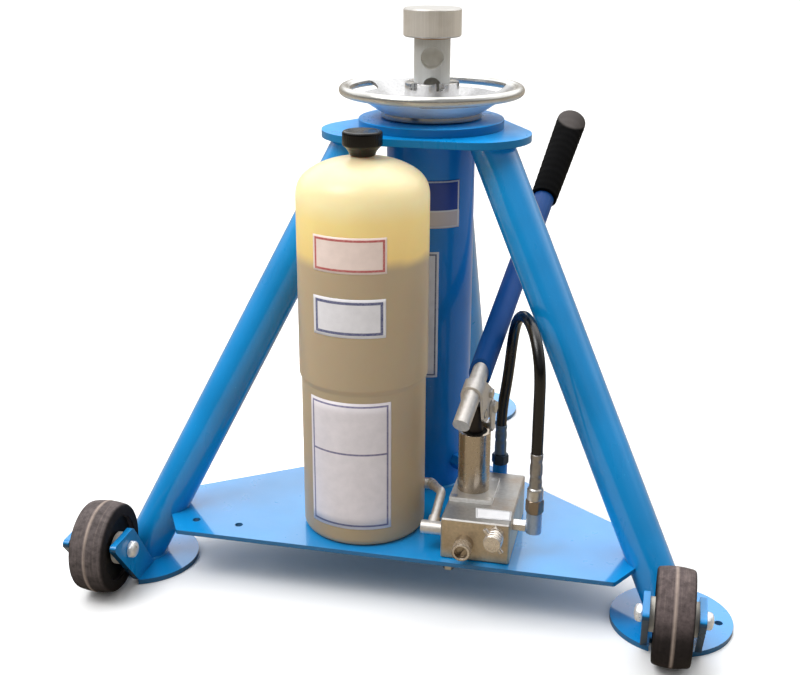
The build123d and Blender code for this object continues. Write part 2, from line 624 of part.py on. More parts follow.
def make_pump():
    """Pump block, barrel, plunger, valves and their fasteners."""
    front = BLOCK_Y[0]
    width, depth = BLOCK_X[1] - BLOCK_X[0], BLOCK_Y[1] - BLOCK_Y[0]
    block = Pos(BLOCK_X[0], front, PLATE_TOP) * Box(width, depth, BLOCK_H, align=(Align.MIN,) * 3)
    block = chamfer(block.edges(), BLOCK_EDGE)
    block -= cyl(PLUNGER_R + RUN, BLOCK_TOP - PLUNGER_BORE_DEPTH, BLOCK_TOP + 1, BARREL_X, BARREL_Y)
    seat = (RELEASE_X, front, RELEASE_Z)
    plug_holes = (
        bar(PLUG_SHANK_R, (PLUG_X, front, PLUG_Z), (PLUG_X, front + PLUG_SHANK_L, PLUG_Z)),
        bar(RELEASE_STEM_R + RUN, seat, (RELEASE_X, front + RELEASE_STEM_L, RELEASE_Z)),
    )
    inlet, outlet = (BLOCK_X[0], *TEE_MID[1:]), (BLOCK_X[1], PUMP_LINE[1], PUMP_LINE_Z)
    inward = Vector(CARTRIDGE_L, 0, 0)
    checks = [
        bar(CARTRIDGE_R, inlet, Vector(*inlet) + inward),
        bar(CARTRIDGE_R, outlet, Vector(*outlet) - inward),
    ]
    bolts, screws = [], []
    for x, y in block_bolts():
        shank = cyl(BLOCK_BOLT_R, PLATE_Z, PLATE_TOP + BLOCK_BOLT_DEPTH, x, y)
        head = hex_bar(BLOCK_BOLT_HEAD_R, (x, y, PLATE_Z - BLOCK_BOLT_HEAD_T), (x, y, PLATE_Z))
        bolts.append(shank + head)
    for x, y in flange_screws():
        shank = cyl(SCREW_SHANK_R, BLOCK_TOP - SCREW_DEPTH, FLANGE_BASE_TOP, x, y)
        screws.append(shank + cyl(SCREW_HEAD_R, FLANGE_BASE_TOP - SCREW_HEAD_T, FLANGE_BASE_TOP, x, y))
    for piece in (*plug_holes, *checks, *bolts, *screws):
        block -= piece
    save("pump_block", block)
    save("check_cartridges", *checks)
    save("block_bolts", *bolts)
    save("flange_screws", *screws)

    wide, deep = BARREL_FLANGE
    flange_mid = Pos(BARREL_X + BARREL_FLANGE_SIDE, BARREL_Y, BLOCK_TOP)
    flange = flange_mid * Box(wide, deep, BARREL_FLANGE_T, align=BASE)
    for piece in (*screws, cyl(PLUNGER_R + RUN, BLOCK_TOP - 1, BARREL_TOP_Z, BARREL_X, BARREL_Y)):
        flange -= piece
    save("barrel_flange", flange)
    barrel = ring(BARREL_R, PLUNGER_R + RUN, FLANGE_BASE_TOP, BARREL_TOP_Z, BARREL_X, BARREL_Y)
    barrel -= cyl(WIPER_R + RUN, BARREL_TOP_Z - WIPER_DEPTH, BARREL_TOP_Z + 1, BARREL_X, BARREL_Y)
    save("pump_barrel", barrel)
    wiper_z = (BARREL_TOP_Z - WIPER_DEPTH, BARREL_TOP_Z)
    save("plunger_wiper", ring(WIPER_R, PLUNGER_R + RUN, *wiper_z, BARREL_X, BARREL_Y))

    plug = bar(PLUG_R, (PLUG_X, front - PLUG_L, PLUG_Z), (PLUG_X, front, PLUG_Z)) + plug_holes[0]
    plug_floor = front - PLUG_L + PLUG_MOUTH_DEPTH
    plug -= bar(PLUG_MOUTH_R, (PLUG_X, front - BIG, PLUG_Z), (PLUG_X, plug_floor, PLUG_Z))
    slot = Box(PLUG_SLOT_W, 2 * PLUG_SLOT_DEPTH, 2 * PLUG_MOUTH_R)
    save("relief_plug", plug - Pos(PLUG_X, plug_floor, PLUG_Z) * Rot(0, PLUG_SLOT_LEAN, 0) * slot)
    gland = hex_bar(RELEASE_GLAND_R, (RELEASE_X, front - RELEASE_GLAND_L, RELEASE_Z), seat)
    knob_back = front - RELEASE_GLAND_L - SLACK
    knob_front = knob_back - RELEASE_KNOB_L
    stem_hole = bar(RELEASE_STEM_R + RUN, (RELEASE_X, front - BIG, RELEASE_Z), seat)
    save("release_gland", gland - stem_hole)
    stem_end = front + RELEASE_STEM_L - SLACK
    knob = bar(RELEASE_STEM_R, (RELEASE_X, stem_end, RELEASE_Z), (RELEASE_X, knob_back, RELEASE_Z))
    knob += bar(RELEASE_KNOB_R, (RELEASE_X, knob_back, RELEASE_Z), (RELEASE_X, knob_front, RELEASE_Z))
    bar_mid = Vector(RELEASE_X, (knob_back + knob_front) / 2, RELEASE_Z)
    lean = radians(TEE_BAR_LEAN)
    half = Vector(cos(lean), 0, -sin(lean)) * (TEE_BAR_L / 2)
    knob -= bar(TEE_BAR_R + RUN, bar_mid - half * 2, bar_mid + half * 2)
    save("release_valve", knob, bar(TEE_BAR_R, bar_mid - half, bar_mid + half))


def make_lever():
    """Lever, handle, fulcrum bracket, plunger and their pins, built in the lever plane."""
    fulcrum, pin = (FULCRUM_BACK, FULCRUM_Z), (0.0, PIN_Z)
    tops = [on_rod(along, ROD_R) for along in STRAP_TOP]
    clevis = (CLEVIS_BOLT_BACK, CLEVIS_BOLT_Z)
    outline = eyes(
        [(*fulcrum, STRAP_EYE_R), (*pin, STRAP_EYE_R), (*clevis, CLEVIS_EYE_R)]
        + [(top.Y, top.Z, STRAP_TOP_R) for top in tops]
    )
    long = LEVER_Z - FULCRUM_Z + STRAP_OUT
    across = Plane(origin=ROD_ORIGIN, x_dir=(1, 0, 0), z_dir=ROD_DIR)
    shell = Circle(STRAP_OUT) + Pos(0, long) * Rectangle(2 * STRAP_OUT, 2 * long)
    shell -= Circle(STRAP_IN) + Pos(0, long + 1) * Rectangle(2 * STRAP_IN, 2 * long + 2)
    strap = extrude(across * shell, 3 * STRAP_OUT, both=True) & side_plate(outline, -STRAP_OUT, STRAP_OUT)
    reach = Vector(0, pin[0] - fulcrum[0], pin[1] - fulcrum[1])
    slot_mid = Vector(0, *pin) + reach.normalized() * (PIN_SLOT / 2 - SLACK / 2)
    slot = Plane(slot_mid, x_dir=reach, z_dir=(1, 0, 0)) * SlotCenterToCenter(PIN_SLOT, 2 * (PIN_R + SLACK))
    strap -= extrude(slot, 2 * STRAP_OUT, both=True)
    far = 2 * EAR_OUT
    strap -= bar(FULCRUM_R + RUN, (-far, *fulcrum), (far, *fulcrum))
    strap -= bar(CLEVIS_BOLT_R + RUN, (-far, *clevis), (far, *clevis))
    save("lever_strap", LEVER * strap)
    save("lever_rod", LEVER * bar(ROD_R, on_rod(-ROD_FRONT), on_rod(ROD_INSIDE)))
    tube = bar(HANDLE_R, on_rod(HANDLE_LIPS[0]), on_rod(HANDLE_TO))
    mouth = Polyline(
        *[
            (point.Y, point.Z)
            for point in (
                on_rod(HANDLE_LIPS[0], -HANDLE_R),
                on_rod(HANDLE_LIPS[1], HANDLE_R),
                on_rod(HANDLE_LIPS[1], 2 * HANDLE_R),
                on_rod(-HANDLE_LIPS[1], 2 * HANDLE_R),
                on_rod(-HANDLE_LIPS[1], -HANDLE_R),
            )
        ],
        close=True,
    )
    tube -= side_plate(make_face(mouth), -2 * HANDLE_R, 2 * HANDLE_R)
    save("handle_tube", LEVER * (tube - bar(ROD_R + SEAT, on_rod(0), on_rod(HANDLE_TO + 1))))
    grip_l = HANDLE_TO + GRIP_END_T - GRIP_FROM
    grip = Plane(on_rod(GRIP_FROM), z_dir=ROD_DIR) * Cone(*GRIP_R, grip_l, align=BASE)
    grip = fillet(grip.edges().filter_by(GeomType.CIRCLE), GRIP_ROUND)
    pitch = (HANDLE_TO - GRIP_FROM) / (GRIP_RIBS + 1)
    for step in range(1, GRIP_RIBS + 1):
        mid = GRIP_FROM + step * pitch
        groove = [on_rod(mid - GRIP_RIB_W / 2), on_rod(mid + GRIP_RIB_W / 2)]
        neck = GRIP_R[0] + (GRIP_R[1] - GRIP_R[0]) * step * pitch / grip_l - GRIP_RIB_DEPTH
        grip -= bar(2 * GRIP_R[1], *groove) - bar(neck, *groove)
    save("handle_grip", LEVER * (grip - bar(HANDLE_R + SEAT, on_rod(0), on_rod(HANDLE_TO))))

    def cross_bolt(radius, centre, half):
        """Bolt across the lever plane with a head and a nut, as two solids."""
        head = radius * BOLT_HEAD_RATIO
        ends = [(side, *centre) for side in (-half - BOLT_HEAD_T, -half, half, half + BOLT_HEAD_T)]
        bolt = bar(radius, ends[0], ends[2]) + hex_bar(head, ends[2], ends[3])
        return LEVER * bolt, LEVER * (hex_bar(head, ends[0], ends[1]) - bar(radius + RUN, ends[0], ends[1]))

    save("clevis_bolt", *cross_bolt(CLEVIS_BOLT_R, clevis, STRAP_OUT))
    save("fulcrum_bolt", *cross_bolt(FULCRUM_R, fulcrum, EAR_OUT))

    saddle_top = FORK_Z + FORK_H
    ear = eyes([(*fulcrum, EAR_R), (FULCRUM_BACK, saddle_top, EAR_R)])
    fork_back = FULCRUM_BACK + EAR_R - SLACK
    saddle = Pos(0, BARREL_R + SADDLE_T, SADDLE_Z) * Box(
        SADDLE_W, BARREL_R, saddle_top - SADDLE_Z, align=(Align.CENTER, Align.MAX, Align.MIN)
    )
    fork = Pos(0, fork_back, FORK_Z) * Box(
        2 * EAR_OUT, fork_back - BARREL_R, FORK_H, align=(Align.CENTER, Align.MAX, Align.MIN)
    )
    bracket = saddle + fork + side_plate(ear, EAR_IN, EAR_OUT) + side_plate(ear, -EAR_OUT, -EAR_IN)
    bracket -= cyl(BARREL_R + RUN, SADDLE_Z - 1, saddle_top + 1)
    save("fulcrum_bracket", LEVER * (bracket - bar(FULCRUM_R + RUN, (-far, *fulcrum), (far, *fulcrum))))

    crown = PIN_Z + PLUNGER_R
    plunger = cyl(PLUNGER_R, crown - PLUNGER_L, crown)
    plunger = chamfer(plunger.edges().filter_by(GeomType.CIRCLE), PLUNGER_EDGE)
    save("plunger", LEVER * (plunger - bar(PIN_R + RUN, (-far, *pin), (far, *pin))))
    save("plunger_pin", LEVER * bar(PIN_R, (-STRAP_OUT, *pin), (STRAP_OUT, *pin)))


def make_pressure_line():
    """Hose, its end fittings, and the lines from the block and to the cylinder."""
    nuts, ferrules = [], []
    for (x, y), nut, ferrule in ((PUMP_LINE, PUMP_NUT, PUMP_FERRULE), (CYL_LINE, CYL_NUT, CYL_FERRULE)):
        nuts.append(hex_bar(SWIVEL_R, (x, y, nut[0]), (x, y, nut[1])))
        ferrules.append(cyl(FERRULE_R, ferrule[0], ferrule[1], x, y))
    save("swivel_nuts", *nuts)
    save("hose_ferrules", *ferrules)

    line = (*PUMP_LINE, PUMP_LINE_Z)
    elbow_x = PUMP_LINE[0] - ELBOW_R
    adapter = hex_bar(ADAPTER_HEX_R, (BLOCK_X[1], *line[1:]), (elbow_x, *line[1:]))
    elbow = cyl(ELBOW_R, PUMP_LINE_Z - ELBOW_DROP, PUMP_NUT[0], *PUMP_LINE)
    save("pump_adapter", adapter)
    save("pump_elbow", elbow + bar(ADAPTER_R, (elbow_x, *line[1:]), line))

    way = Vector(*CYL_LINE, 0).normalized()
    up = Vector(0, 0, PORT_Z)
    pipe = bar(PIPE_R, up, Vector(*CYL_LINE, PORT_Z))
    pipe += hex_bar(PIPE_HEX_R, up, way * (CYL_R + PIPE_HEX_L) + up)
    pipe += cyl(ELBOW_R, PORT_Z - ELBOW_DROP, CYL_NUT[0], *CYL_LINE)
    save("cylinder_pipe", pipe - cyl(CYL_R + RUN, PLATE_TOP, TOP_Z))

    points = [Vector(*point) for point in HOSE_ROUTE]
    runs = [after - before for before, after in zip(points, points[1:])]
    radii = []
    for before, after in zip(runs, runs[1:]):
        turn = radians(before.get_angle(after))
        radii.append(HOSE_BEND_SHARE * min(before.length, after.length) / tan(turn / 2))
    path = FilletPolyline(*points, radius=radii)
    hose = sweep(Plane(points[0], z_dir=runs[0]) * Circle(HOSE_R), path=path)
    save("pressure_hose", hose)
    print("hose bend radii", [round(radius, 1) for radius in radii])
    print("hose length", round(path.length, 1), "volume", round(hose.volume))


os.makedirs("parts", exist_ok=True)
make_tripod()
make_wheels()
make_cylinder()
make_ram()
make_reservoir()
make_pump()
make_lever()
make_pressure_line()
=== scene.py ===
import logging
import math
from dataclasses import dataclass, field, replace
from enum import Enum
from functools import cache

import bmesh
import bpy
import numpy as np
from mathutils import Euler, Matrix, Vector


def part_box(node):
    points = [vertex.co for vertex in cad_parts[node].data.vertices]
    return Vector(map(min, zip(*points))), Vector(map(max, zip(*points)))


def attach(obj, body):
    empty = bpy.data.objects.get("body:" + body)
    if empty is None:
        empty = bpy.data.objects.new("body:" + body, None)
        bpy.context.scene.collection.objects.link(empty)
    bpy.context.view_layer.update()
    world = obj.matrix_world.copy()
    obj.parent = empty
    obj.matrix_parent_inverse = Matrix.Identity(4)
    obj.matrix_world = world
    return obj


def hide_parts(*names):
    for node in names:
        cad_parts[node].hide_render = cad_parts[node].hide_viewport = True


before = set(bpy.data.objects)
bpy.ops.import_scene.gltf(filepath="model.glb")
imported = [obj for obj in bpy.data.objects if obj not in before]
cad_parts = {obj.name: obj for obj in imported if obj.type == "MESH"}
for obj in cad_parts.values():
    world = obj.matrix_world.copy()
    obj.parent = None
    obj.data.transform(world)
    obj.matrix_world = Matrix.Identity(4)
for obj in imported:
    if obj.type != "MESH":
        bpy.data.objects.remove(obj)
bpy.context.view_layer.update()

LOG = logging.getLogger("tripod_jack")

Array = np.ndarray
Colour = tuple[int, int, int]
Pair = tuple[float, float]
Point = tuple[float, float, float]
Points = tuple[Point, ...]
Stops = tuple[tuple[float, Colour], ...]
Socket = bpy.types.NodeSocket

LABEL_MAP = "label"
MM = 0.001
TURN = 2.0 * math.pi
TURNS = 96
ORIGIN: Point = (0.0, 0.0, 0.0)
RIGHT: Point = (1.0, 0.0, 0.0)
FRONT: Point = (0.0, -1.0, 0.0)
UP: Point = (0.0, 0.0, 1.0)
COLUMN_R = 0.0508

# Ranges that the finishes share: from none to all, from all to none, the middle of a noise, and the
# upward look of a face between steep and level.
RISING: Pair = (0.0, 1.0)
FALLING: Pair = (1.0, 0.0)
MIDDLE: Pair = (0.3, 0.7)
LEVELLING: Pair = (0.25, 0.6)


class Body(Enum):
    """Moving bodies that a piece can ride on."""

    FRAME = "frame"
    WHEEL_RIGHT = "wheel_right"
    WHEEL_LEFT = "wheel_left"
    LEVER = "lever"
    CAP = "filler_cap"
    RELEASE = "release_valve"


class Slot(Enum):
    """Material slots of the record."""

    PAINT = "blue_paint"
    ZINC = "zinc_steel"
    DARK = "dark_steel"
    TYRE = "tyre_rubber"
    GRIP = "black_rubber"
    HOSE = "hose_rubber"
    TANK = "tank_plastic"
    CAP = "cap_plastic"
    DECAL = "spacer_plastic"


class Grain(Enum):
    """Direction of the fine lines on a metal, as a stretch of its noise."""

    ALONG_Z = (900.0, 900.0, 9.0)
    EVEN = (260.0, 260.0, 260.0)
    TURNED = (900.0, 900.0, 0.0)


def linear(colour: Colour) -> tuple[float, float, float, float]:
    """Turn a screen colour of 0 to 255 into linear light with full alpha, by the standard screen curve.

    Args:
        colour: Red, green and blue.

    Returns:
        Linear red, green and blue, and alpha.
    """
    part = np.array(colour) / 255.0
    low = part / 12.92
    high = ((part + 0.055) / 1.055) ** 2.4
    return (*np.where(part <= 0.04045, low, high).tolist(), 1.0)


def placed(name: str, data: bpy.types.ID) -> bpy.types.Object:
    """Put a new object into the scene.

    Args:
        name: Name of the object.
        data: Its mesh, curve, light or camera.

    Returns:
        The object, at the origin.
    """
    made = bpy.data.objects.new(name, data)
    bpy.context.scene.collection.objects.link(made)
    return made


class Graph:
    """Shader nodes of a material or of the world."""

    def __init__(self, owner: bpy.types.Material | bpy.types.World) -> None:
        """Start with the nodes that a new material or world has."""
        owner.use_nodes = True
        self.tree = owner.node_tree

    def feed(self, node: bpy.types.Node, key: str | int, value: object) -> None:
        """Link a socket into an input, or set the input to a constant.

        Args:
            node: Node to feed.
            key: Name or number of its input.
            value: Socket or constant.
        """
        if isinstance(value, Socket):
            self.tree.links.new(value, node.inputs[key])
        else:
            node.inputs[key].default_value = value

    def add(self, kind: str, inputs: dict, **settings: object) -> bpy.types.Node:
        """Add a node.

        Args:
            kind: Type of shader node.
            inputs: Sockets or constants by input name or number.
            settings: Properties of the node.

        Returns:
            The new node.
        """
        node = self.tree.nodes.new("ShaderNode" + kind)
        for key, value in settings.items():
            setattr(node, key, value)
        for key, value in inputs.items():
            self.feed(node, key, value)
        return node

    def shade(self, **inputs: object) -> None:
        """Feed a material's shader; an input's name is written with underscores."""
        for key, value in inputs.items():
            self.feed(self.tree.nodes["Principled BSDF"], key.replace("_", " "), value)

    def vector(self, operation: str, first: Socket, second: Point = ORIGIN) -> list[Socket]:
        """One step of vector arithmetic, as a vector and as a number."""
        return list(self.add("VectorMath", {0: first, 1: second}, operation=operation).outputs)

    def spot(self, centre: Point = ORIGIN) -> Socket:
        """Object coordinates measured from a centre."""
        return self.vector("SUBTRACT", self.add("TexCoord", {}).outputs["Object"], centre)[0]

    def stretch(self, vector: Socket, scale: Point) -> Socket:
        """Coordinates multiplied axis by axis."""
        return self.vector("MULTIPLY", vector, scale)[0]

    def axes(self, vector: Socket) -> list[Socket]:
        """X, Y and Z of a vector."""
        return list(self.add("SeparateXYZ", {0: vector}).outputs)

    def reach(self, vector: Socket, axis: Point) -> Socket:
        """Length of a vector along an axis."""
        return self.vector("DOT_PRODUCT", vector, axis)[1]

    def radius(self, vector: Socket) -> Socket:
        """Distance from the Z axis."""
        return self.vector("LENGTH", self.stretch(vector, (1.0, 1.0, 0.0)))[1]

    def facing(self, axis: Point) -> Socket:
        """How far a face looks along an axis, from minus one to one."""
        return self.reach(self.add("NewGeometry", {}).outputs["True Normal"], axis)

    def calc(self, operation: str, first: object, second: object = 0.0) -> Socket:
        """One step of arithmetic."""
        return self.add("Math", {0: first, 1: second}, operation=operation).outputs[0]

    def span(self, value: Socket, start: Pair, end: Pair, kind: str = "SMOOTHSTEP") -> Socket:
        """Map a range of values onto another, held at both ends."""
        ends = {"From Min": start[0], "From Max": start[1], "To Min": end[0], "To Max": end[1]}
        return self.add("MapRange", {"Value": value, **ends}, interpolation_type=kind).outputs[0]

    def noise(self, vector: Socket, scale: float, detail: float = 3.0, rough: float = 0.55) -> Socket:
        """Cloudy noise from 0 to 1."""
        values = {"Vector": vector, "Scale": scale, "Detail": detail, "Roughness": rough}
        return self.add("TexNoise", values).outputs[0]

    def ramp(self, value: Socket, stops: Stops) -> Socket:
        """Colours at positions from 0 to 1.

        Args:
            value: Position.
            stops: Positions and screen colours in order.

        Returns:
            The colour.
        """
        node = self.add("ValToRGB", {0: value})
        while len(node.color_ramp.elements) < len(stops):
            node.color_ramp.elements.new(1.0)
        for element, (place, colour) in zip(node.color_ramp.elements, stops):
            element.position = place
            element.color = linear(colour)
        return node.outputs[0]

    def blend(self, share: Socket, first: Socket, second: Socket | Colour) -> Socket:
        """Mix a colour with another, or with a screen colour."""
        other = linear(second) if isinstance(second, tuple) else second
        return self.add("Mix", {0: share, 6: first, 7: other}, data_type="RGBA").outputs[2]

    def tones(self, value: Socket, colour: Colour, low: float, high: float) -> Socket:
        """One colour made darker and lighter by a value from 0 to 1."""
        dark, light = (tuple(int(min(255, part * by)) for part in colour) for by in (low, high))
        return self.ramp(value, ((0.25, dark), (0.75, light)))

    def bump(self, height: Socket, strength: float, depth: float, edge: float = 0.0) -> None:
        """Raise the shader's normal by a height.

        Args:
            height: Height from 0 to 1.
            strength: Share of the height that shows.
            depth: Height of one unit, in metres.
            edge: Radius by which edges look rounded, in metres.
        """
        values = {"Strength": strength, "Distance": depth, "Height": height}
        if edge:
            values["Normal"] = self.add("Bevel", {"Radius": edge}, samples=4).outputs[0]
        self.shade(Normal=self.add("Bump", values).outputs[0])


@dataclass(frozen=True)
class Finish:
    """A surface finish, from which one material is made and shared."""

    name: str
    colour: Colour

    @cache
    def material(self) -> bpy.types.Material:
        """Make the material once.

        Returns:
            The same material each time.
        """
        made = bpy.data.materials.new(self.name)
        self.draw(Graph(made))
        return made

    def draw(self, g: Graph) -> None:
        """Lay the nodes of the finish."""
        raise NotImplementedError


@dataclass(frozen=True)
class Paint(Finish):
    """Sprayed enamel: cloudy tone, faint orange peel, specks of dust and a clear coat.

    The cut edges of a plate, which look neither up nor either way along its axis, are darker: painted shade.
    """

    rough: float = 0.32
    coat: float = 1.0
    peel: float = 0.02
    edge: float = 0.0010
    plate: Point | None = None
    cut_shade_tone: float = 0.75
    speck_light: int = 60

    def draw(self, g: Graph) -> None:
        """Lay the nodes of the finish.

        Args:
            g: Nodes of its material.
        """
        at = g.spot()
        tone = g.tones(g.noise(at, scale=7.0), self.colour, low=0.9, high=1.08)
        # Painted shade: faces that look neither up nor along the plate's axis take a darker copy of the
        # colour.
        if self.plate is not None:
            flat = g.calc("MAXIMUM", g.facing(UP), g.calc("ABSOLUTE", g.facing(self.plate)))
            edge_shade = tuple(round(part * self.cut_shade_tone) for part in self.colour)
            tone = g.blend(g.span(flat, LEVELLING, FALLING), tone, edge_shade)
        specks = g.span(g.noise(at, scale=420.0, detail=1.0), (0.74, 0.82), (0.0, 0.35))
        light = tuple(min(255, part + self.speck_light) for part in self.colour)
        smear = g.noise(g.stretch(at, (1.0, 1.0, 0.25)), scale=34.0, detail=4.0)
        rough = g.span(smear, MIDDLE, (self.rough - 0.05, self.rough + 0.07))
        g.shade(Base_Color=g.blend(specks, tone, light), Roughness=rough)
        g.shade(Coat_Weight=self.coat, Coat_Roughness=0.06, Coat_IOR=1.6, Specular_IOR_Level=0.2)
        g.bump(g.noise(at, scale=330.0, detail=2.0), self.peel, depth=0.002, edge=self.edge)


@dataclass(frozen=True)
class Metal(Finish):
    """Bare or plated metal: fine lines one way, clouds of tone and a faint stain.

    Upright sides may have a colour of their own, as painted light, and so may faces that look down, with a
    shine of theirs, as painted light; so may everything beyond a radius from the Z axis, as a painted
    highlight, and everything within one, as painted light in a hole.
    """

    rough: float = 0.3
    grain: Grain = Grain.EVEN
    lines: float = 0.02
    spread: float = 0.05
    stain: Colour = (150, 135, 112)
    stained: float = 0.25
    shine: float = 1.0
    side: Colour | None = None
    under: tuple[float, Colour] | None = None
    rim_light: tuple[float, Colour] | None = None
    core_light: tuple[float, Colour] | None = None
    soft: float = 0.002

    def draw(self, g: Graph) -> None:
        """Lay the nodes of the finish.

        Args:
            g: Nodes of its material.
        """
        at = g.spot()
        place = at
        if self.grain is Grain.TURNED:
            place = g.add("CombineXYZ", {0: g.radius(at), 1: g.axes(at)[2]}).outputs[0]
        fine = g.noise(g.stretch(place, self.grain.value), scale=1.0)
        low, high = 1.0 - self.spread, 1.0 + self.spread
        tone = g.tones(fine, self.colour, low, high)
        # Painted light: upright sides take a colour of their own, set apart from the faces that look up or
        # down.
        if self.side is not None:
            upright = g.span(g.calc("ABSOLUTE", g.facing(UP)), LEVELLING, FALLING)
            tone = g.blend(upright, tone, g.tones(fine, self.side, low, high))
        shine: float | Socket = self.shine
        # Painted light: faces that look down take a pale colour and less shine.
        if self.under is not None:
            below = g.span(g.facing(UP), (-0.35, -0.1), FALLING)
            tone = g.blend(below, tone, self.under[1])
            shine = g.span(below, RISING, (self.shine, self.under[0]))
        # Painted light: beyond the rim radius a lighter colour, as a painted highlight, and within the core
        # radius a pale colour that lights up a hole.
        for zone, ends in ((self.rim_light, RISING), (self.core_light, FALLING)):
            if zone is not None:
                far, colour = zone
                share = g.span(g.radius(at), (far - self.soft, far + self.soft), ends)
                tone = g.blend(share, tone, colour)
        patch = g.span(g.noise(at, scale=24.0, detail=4.0), (0.45, 0.75), (0.0, self.stained))
        rough = g.span(fine, MIDDLE, (self.rough - 0.03, self.rough + 0.04))
        g.shade(Base_Color=g.blend(patch, tone, self.stain), Metallic=shine, Roughness=rough)
        g.bump(fine, self.lines, depth=0.0006, edge=0.0007)


@dataclass(frozen=True)
class Plastic(Finish):
    """Moulded plastic: an even tone with faint flow marks and scuffs."""

    rough: float = 0.4
    scuff: Colour = (120, 116, 110)
    scuffed: float = 0.12
    shine: float = 0.5

    def draw(self, g: Graph) -> None:
        """Lay the nodes of the finish.

        Args:
            g: Nodes of its material.
        """
        at = g.spot()
        tone = g.tones(g.noise(at, scale=30.0), self.colour, low=0.88, high=1.12)
        mark = g.span(g.noise(at, scale=160.0, detail=5.0, rough=0.7), (0.55, 0.8), (0.0, self.scuffed))
        rough = g.span(g.noise(at, scale=60.0), MIDDLE, (self.rough - 0.06, self.rough + 0.08))
        colour = g.blend(mark, tone, self.scuff)
        g.shade(Base_Color=colour, Roughness=rough, Specular_IOR_Level=self.shine)
        g.bump(g.noise(at, scale=900.0, detail=2.0), strength=0.06, depth=0.0006)


@dataclass(frozen=True)
class Rubber(Finish):
    """Black rubber with pale dust in patches and a pebbled skin.

    A seam is a pale line at an X value, of a half width, on a dusty tread of its own half width, where the
    dust thins out between two heights, as painted light that leaves the top paler. A tip is a grey end beyond
    a
    plane, given by a point and a direction: a painted highlight.
    """

    dust: Colour = (112, 98, 86)
    dusty: float = 0.5
    rough: float = 0.72
    shine: float = 0.12
    seam: Point | None = None
    seam_tone: Colour = (190, 172, 160)
    streak_tone: Colour = (158, 142, 134)
    # The tread's dust is full above the upper height and faint below the lower: painted light, paler towards
    # the top.
    heights: Pair = (0.0, 0.1)
    faint: float = 0.12
    shoulder: float = 0.86
    tip: tuple[Point, Point] | None = None
    tip_highlight: Colour = (92, 87, 85)

    def draw(self, g: Graph) -> None:
        """Lay the nodes of the finish.

        Args:
            g: Nodes of its material.
        """
        at = g.spot()
        cloud = g.noise(at, scale=38.0, detail=5.0, rough=0.65)
        colour = g.tones(g.noise(at, scale=12.0), self.colour, low=0.8, high=1.2)
        if self.seam is not None:
            colour = self.tread(g, at, cloud, colour)
        else:
            colour = g.blend(g.span(cloud, (0.3, 0.72), (0.0, self.dusty)), colour, self.dust)
        # Painted highlight: beyond the plane the grip's end turns grey.
        if self.tip is not None:
            away = g.reach(g.spot(self.tip[0]), self.tip[1])
            colour = g.blend(g.span(away, (-0.0016, 0.0016), (0.0, 0.85)), colour, self.tip_highlight)
        rough = g.span(cloud, MIDDLE, (self.rough - 0.1, self.rough + 0.1))
        g.shade(Base_Color=colour, Roughness=rough, Specular_IOR_Level=self.shine)
        g.bump(g.noise(at, scale=700.0), strength=0.15, depth=0.0008, edge=0.0008)

    def tread(self, g: Graph, at: Socket, cloud: Socket, colour: Socket) -> Socket:
        """Lay gritty dust that thins out downwards, as painted light that leaves the top paler, and at the
        shoulders, fine streaks and the worn seam.

        Args:
            g: Nodes of the material.
            at: Object coordinates.
            cloud: Noise by which the seam is worn.
            colour: Colour of the clean rubber.

        Returns:
            The colour of the tread.
        """
        middle, half, tread = self.seam
        across, _, height = g.axes(at)
        off = g.calc("ABSOLUTE", g.calc("SUBTRACT", across, middle))
        grit = g.span(g.noise(at, scale=150.0, detail=6.0, rough=0.7), (0.15, 0.75), (0.25, 1.0))
        # Painted light: the dust share grows with height, so the tread is paler towards the top.
        high = g.span(height, self.heights, (self.dusty * self.faint, self.dusty))
        inner = g.span(off, (tread * self.shoulder, tread), (1.0, self.faint))
        patch = g.calc("MULTIPLY", g.calc("MULTIPLY", grit, high), inner)
        colour = g.blend(patch, colour, self.dust)
        streak = g.noise(g.stretch(at, (420.0, 14.0, 14.0)), scale=1.0, detail=4.0)
        fine = g.calc("MULTIPLY", g.span(streak, (0.5, 0.75), (0.0, 0.3)), patch)
        colour = g.blend(fine, colour, self.streak_tone)
        worn = g.calc("MULTIPLY", g.span(off, (0.0, half), FALLING), g.calc("ADD", cloud, 0.1))
        return g.blend(worn, colour, self.seam_tone)


@dataclass(frozen=True)
class Ground(Finish):
    """Plain studio floor, white to look at and brown where shiny metal and paint mirror it."""

    mirrored: Colour = (152, 140, 120)
    bounced: Colour = (170, 166, 160)

    def draw(self, g: Graph) -> None:
        """Lay the nodes of the finish, with a faint even grain.

        Args:
            g: Nodes of its material.
        """
        path = g.add("LightPath", {}).outputs
        plain = g.tones(g.noise(g.spot(), scale=30.0), self.colour, low=0.998, high=1.002)
        soft = g.blend(path["Is Diffuse Ray"], plain, self.bounced)
        g.shade(Base_Color=g.blend(path["Is Glossy Ray"], soft, self.mirrored), Roughness=0.9)


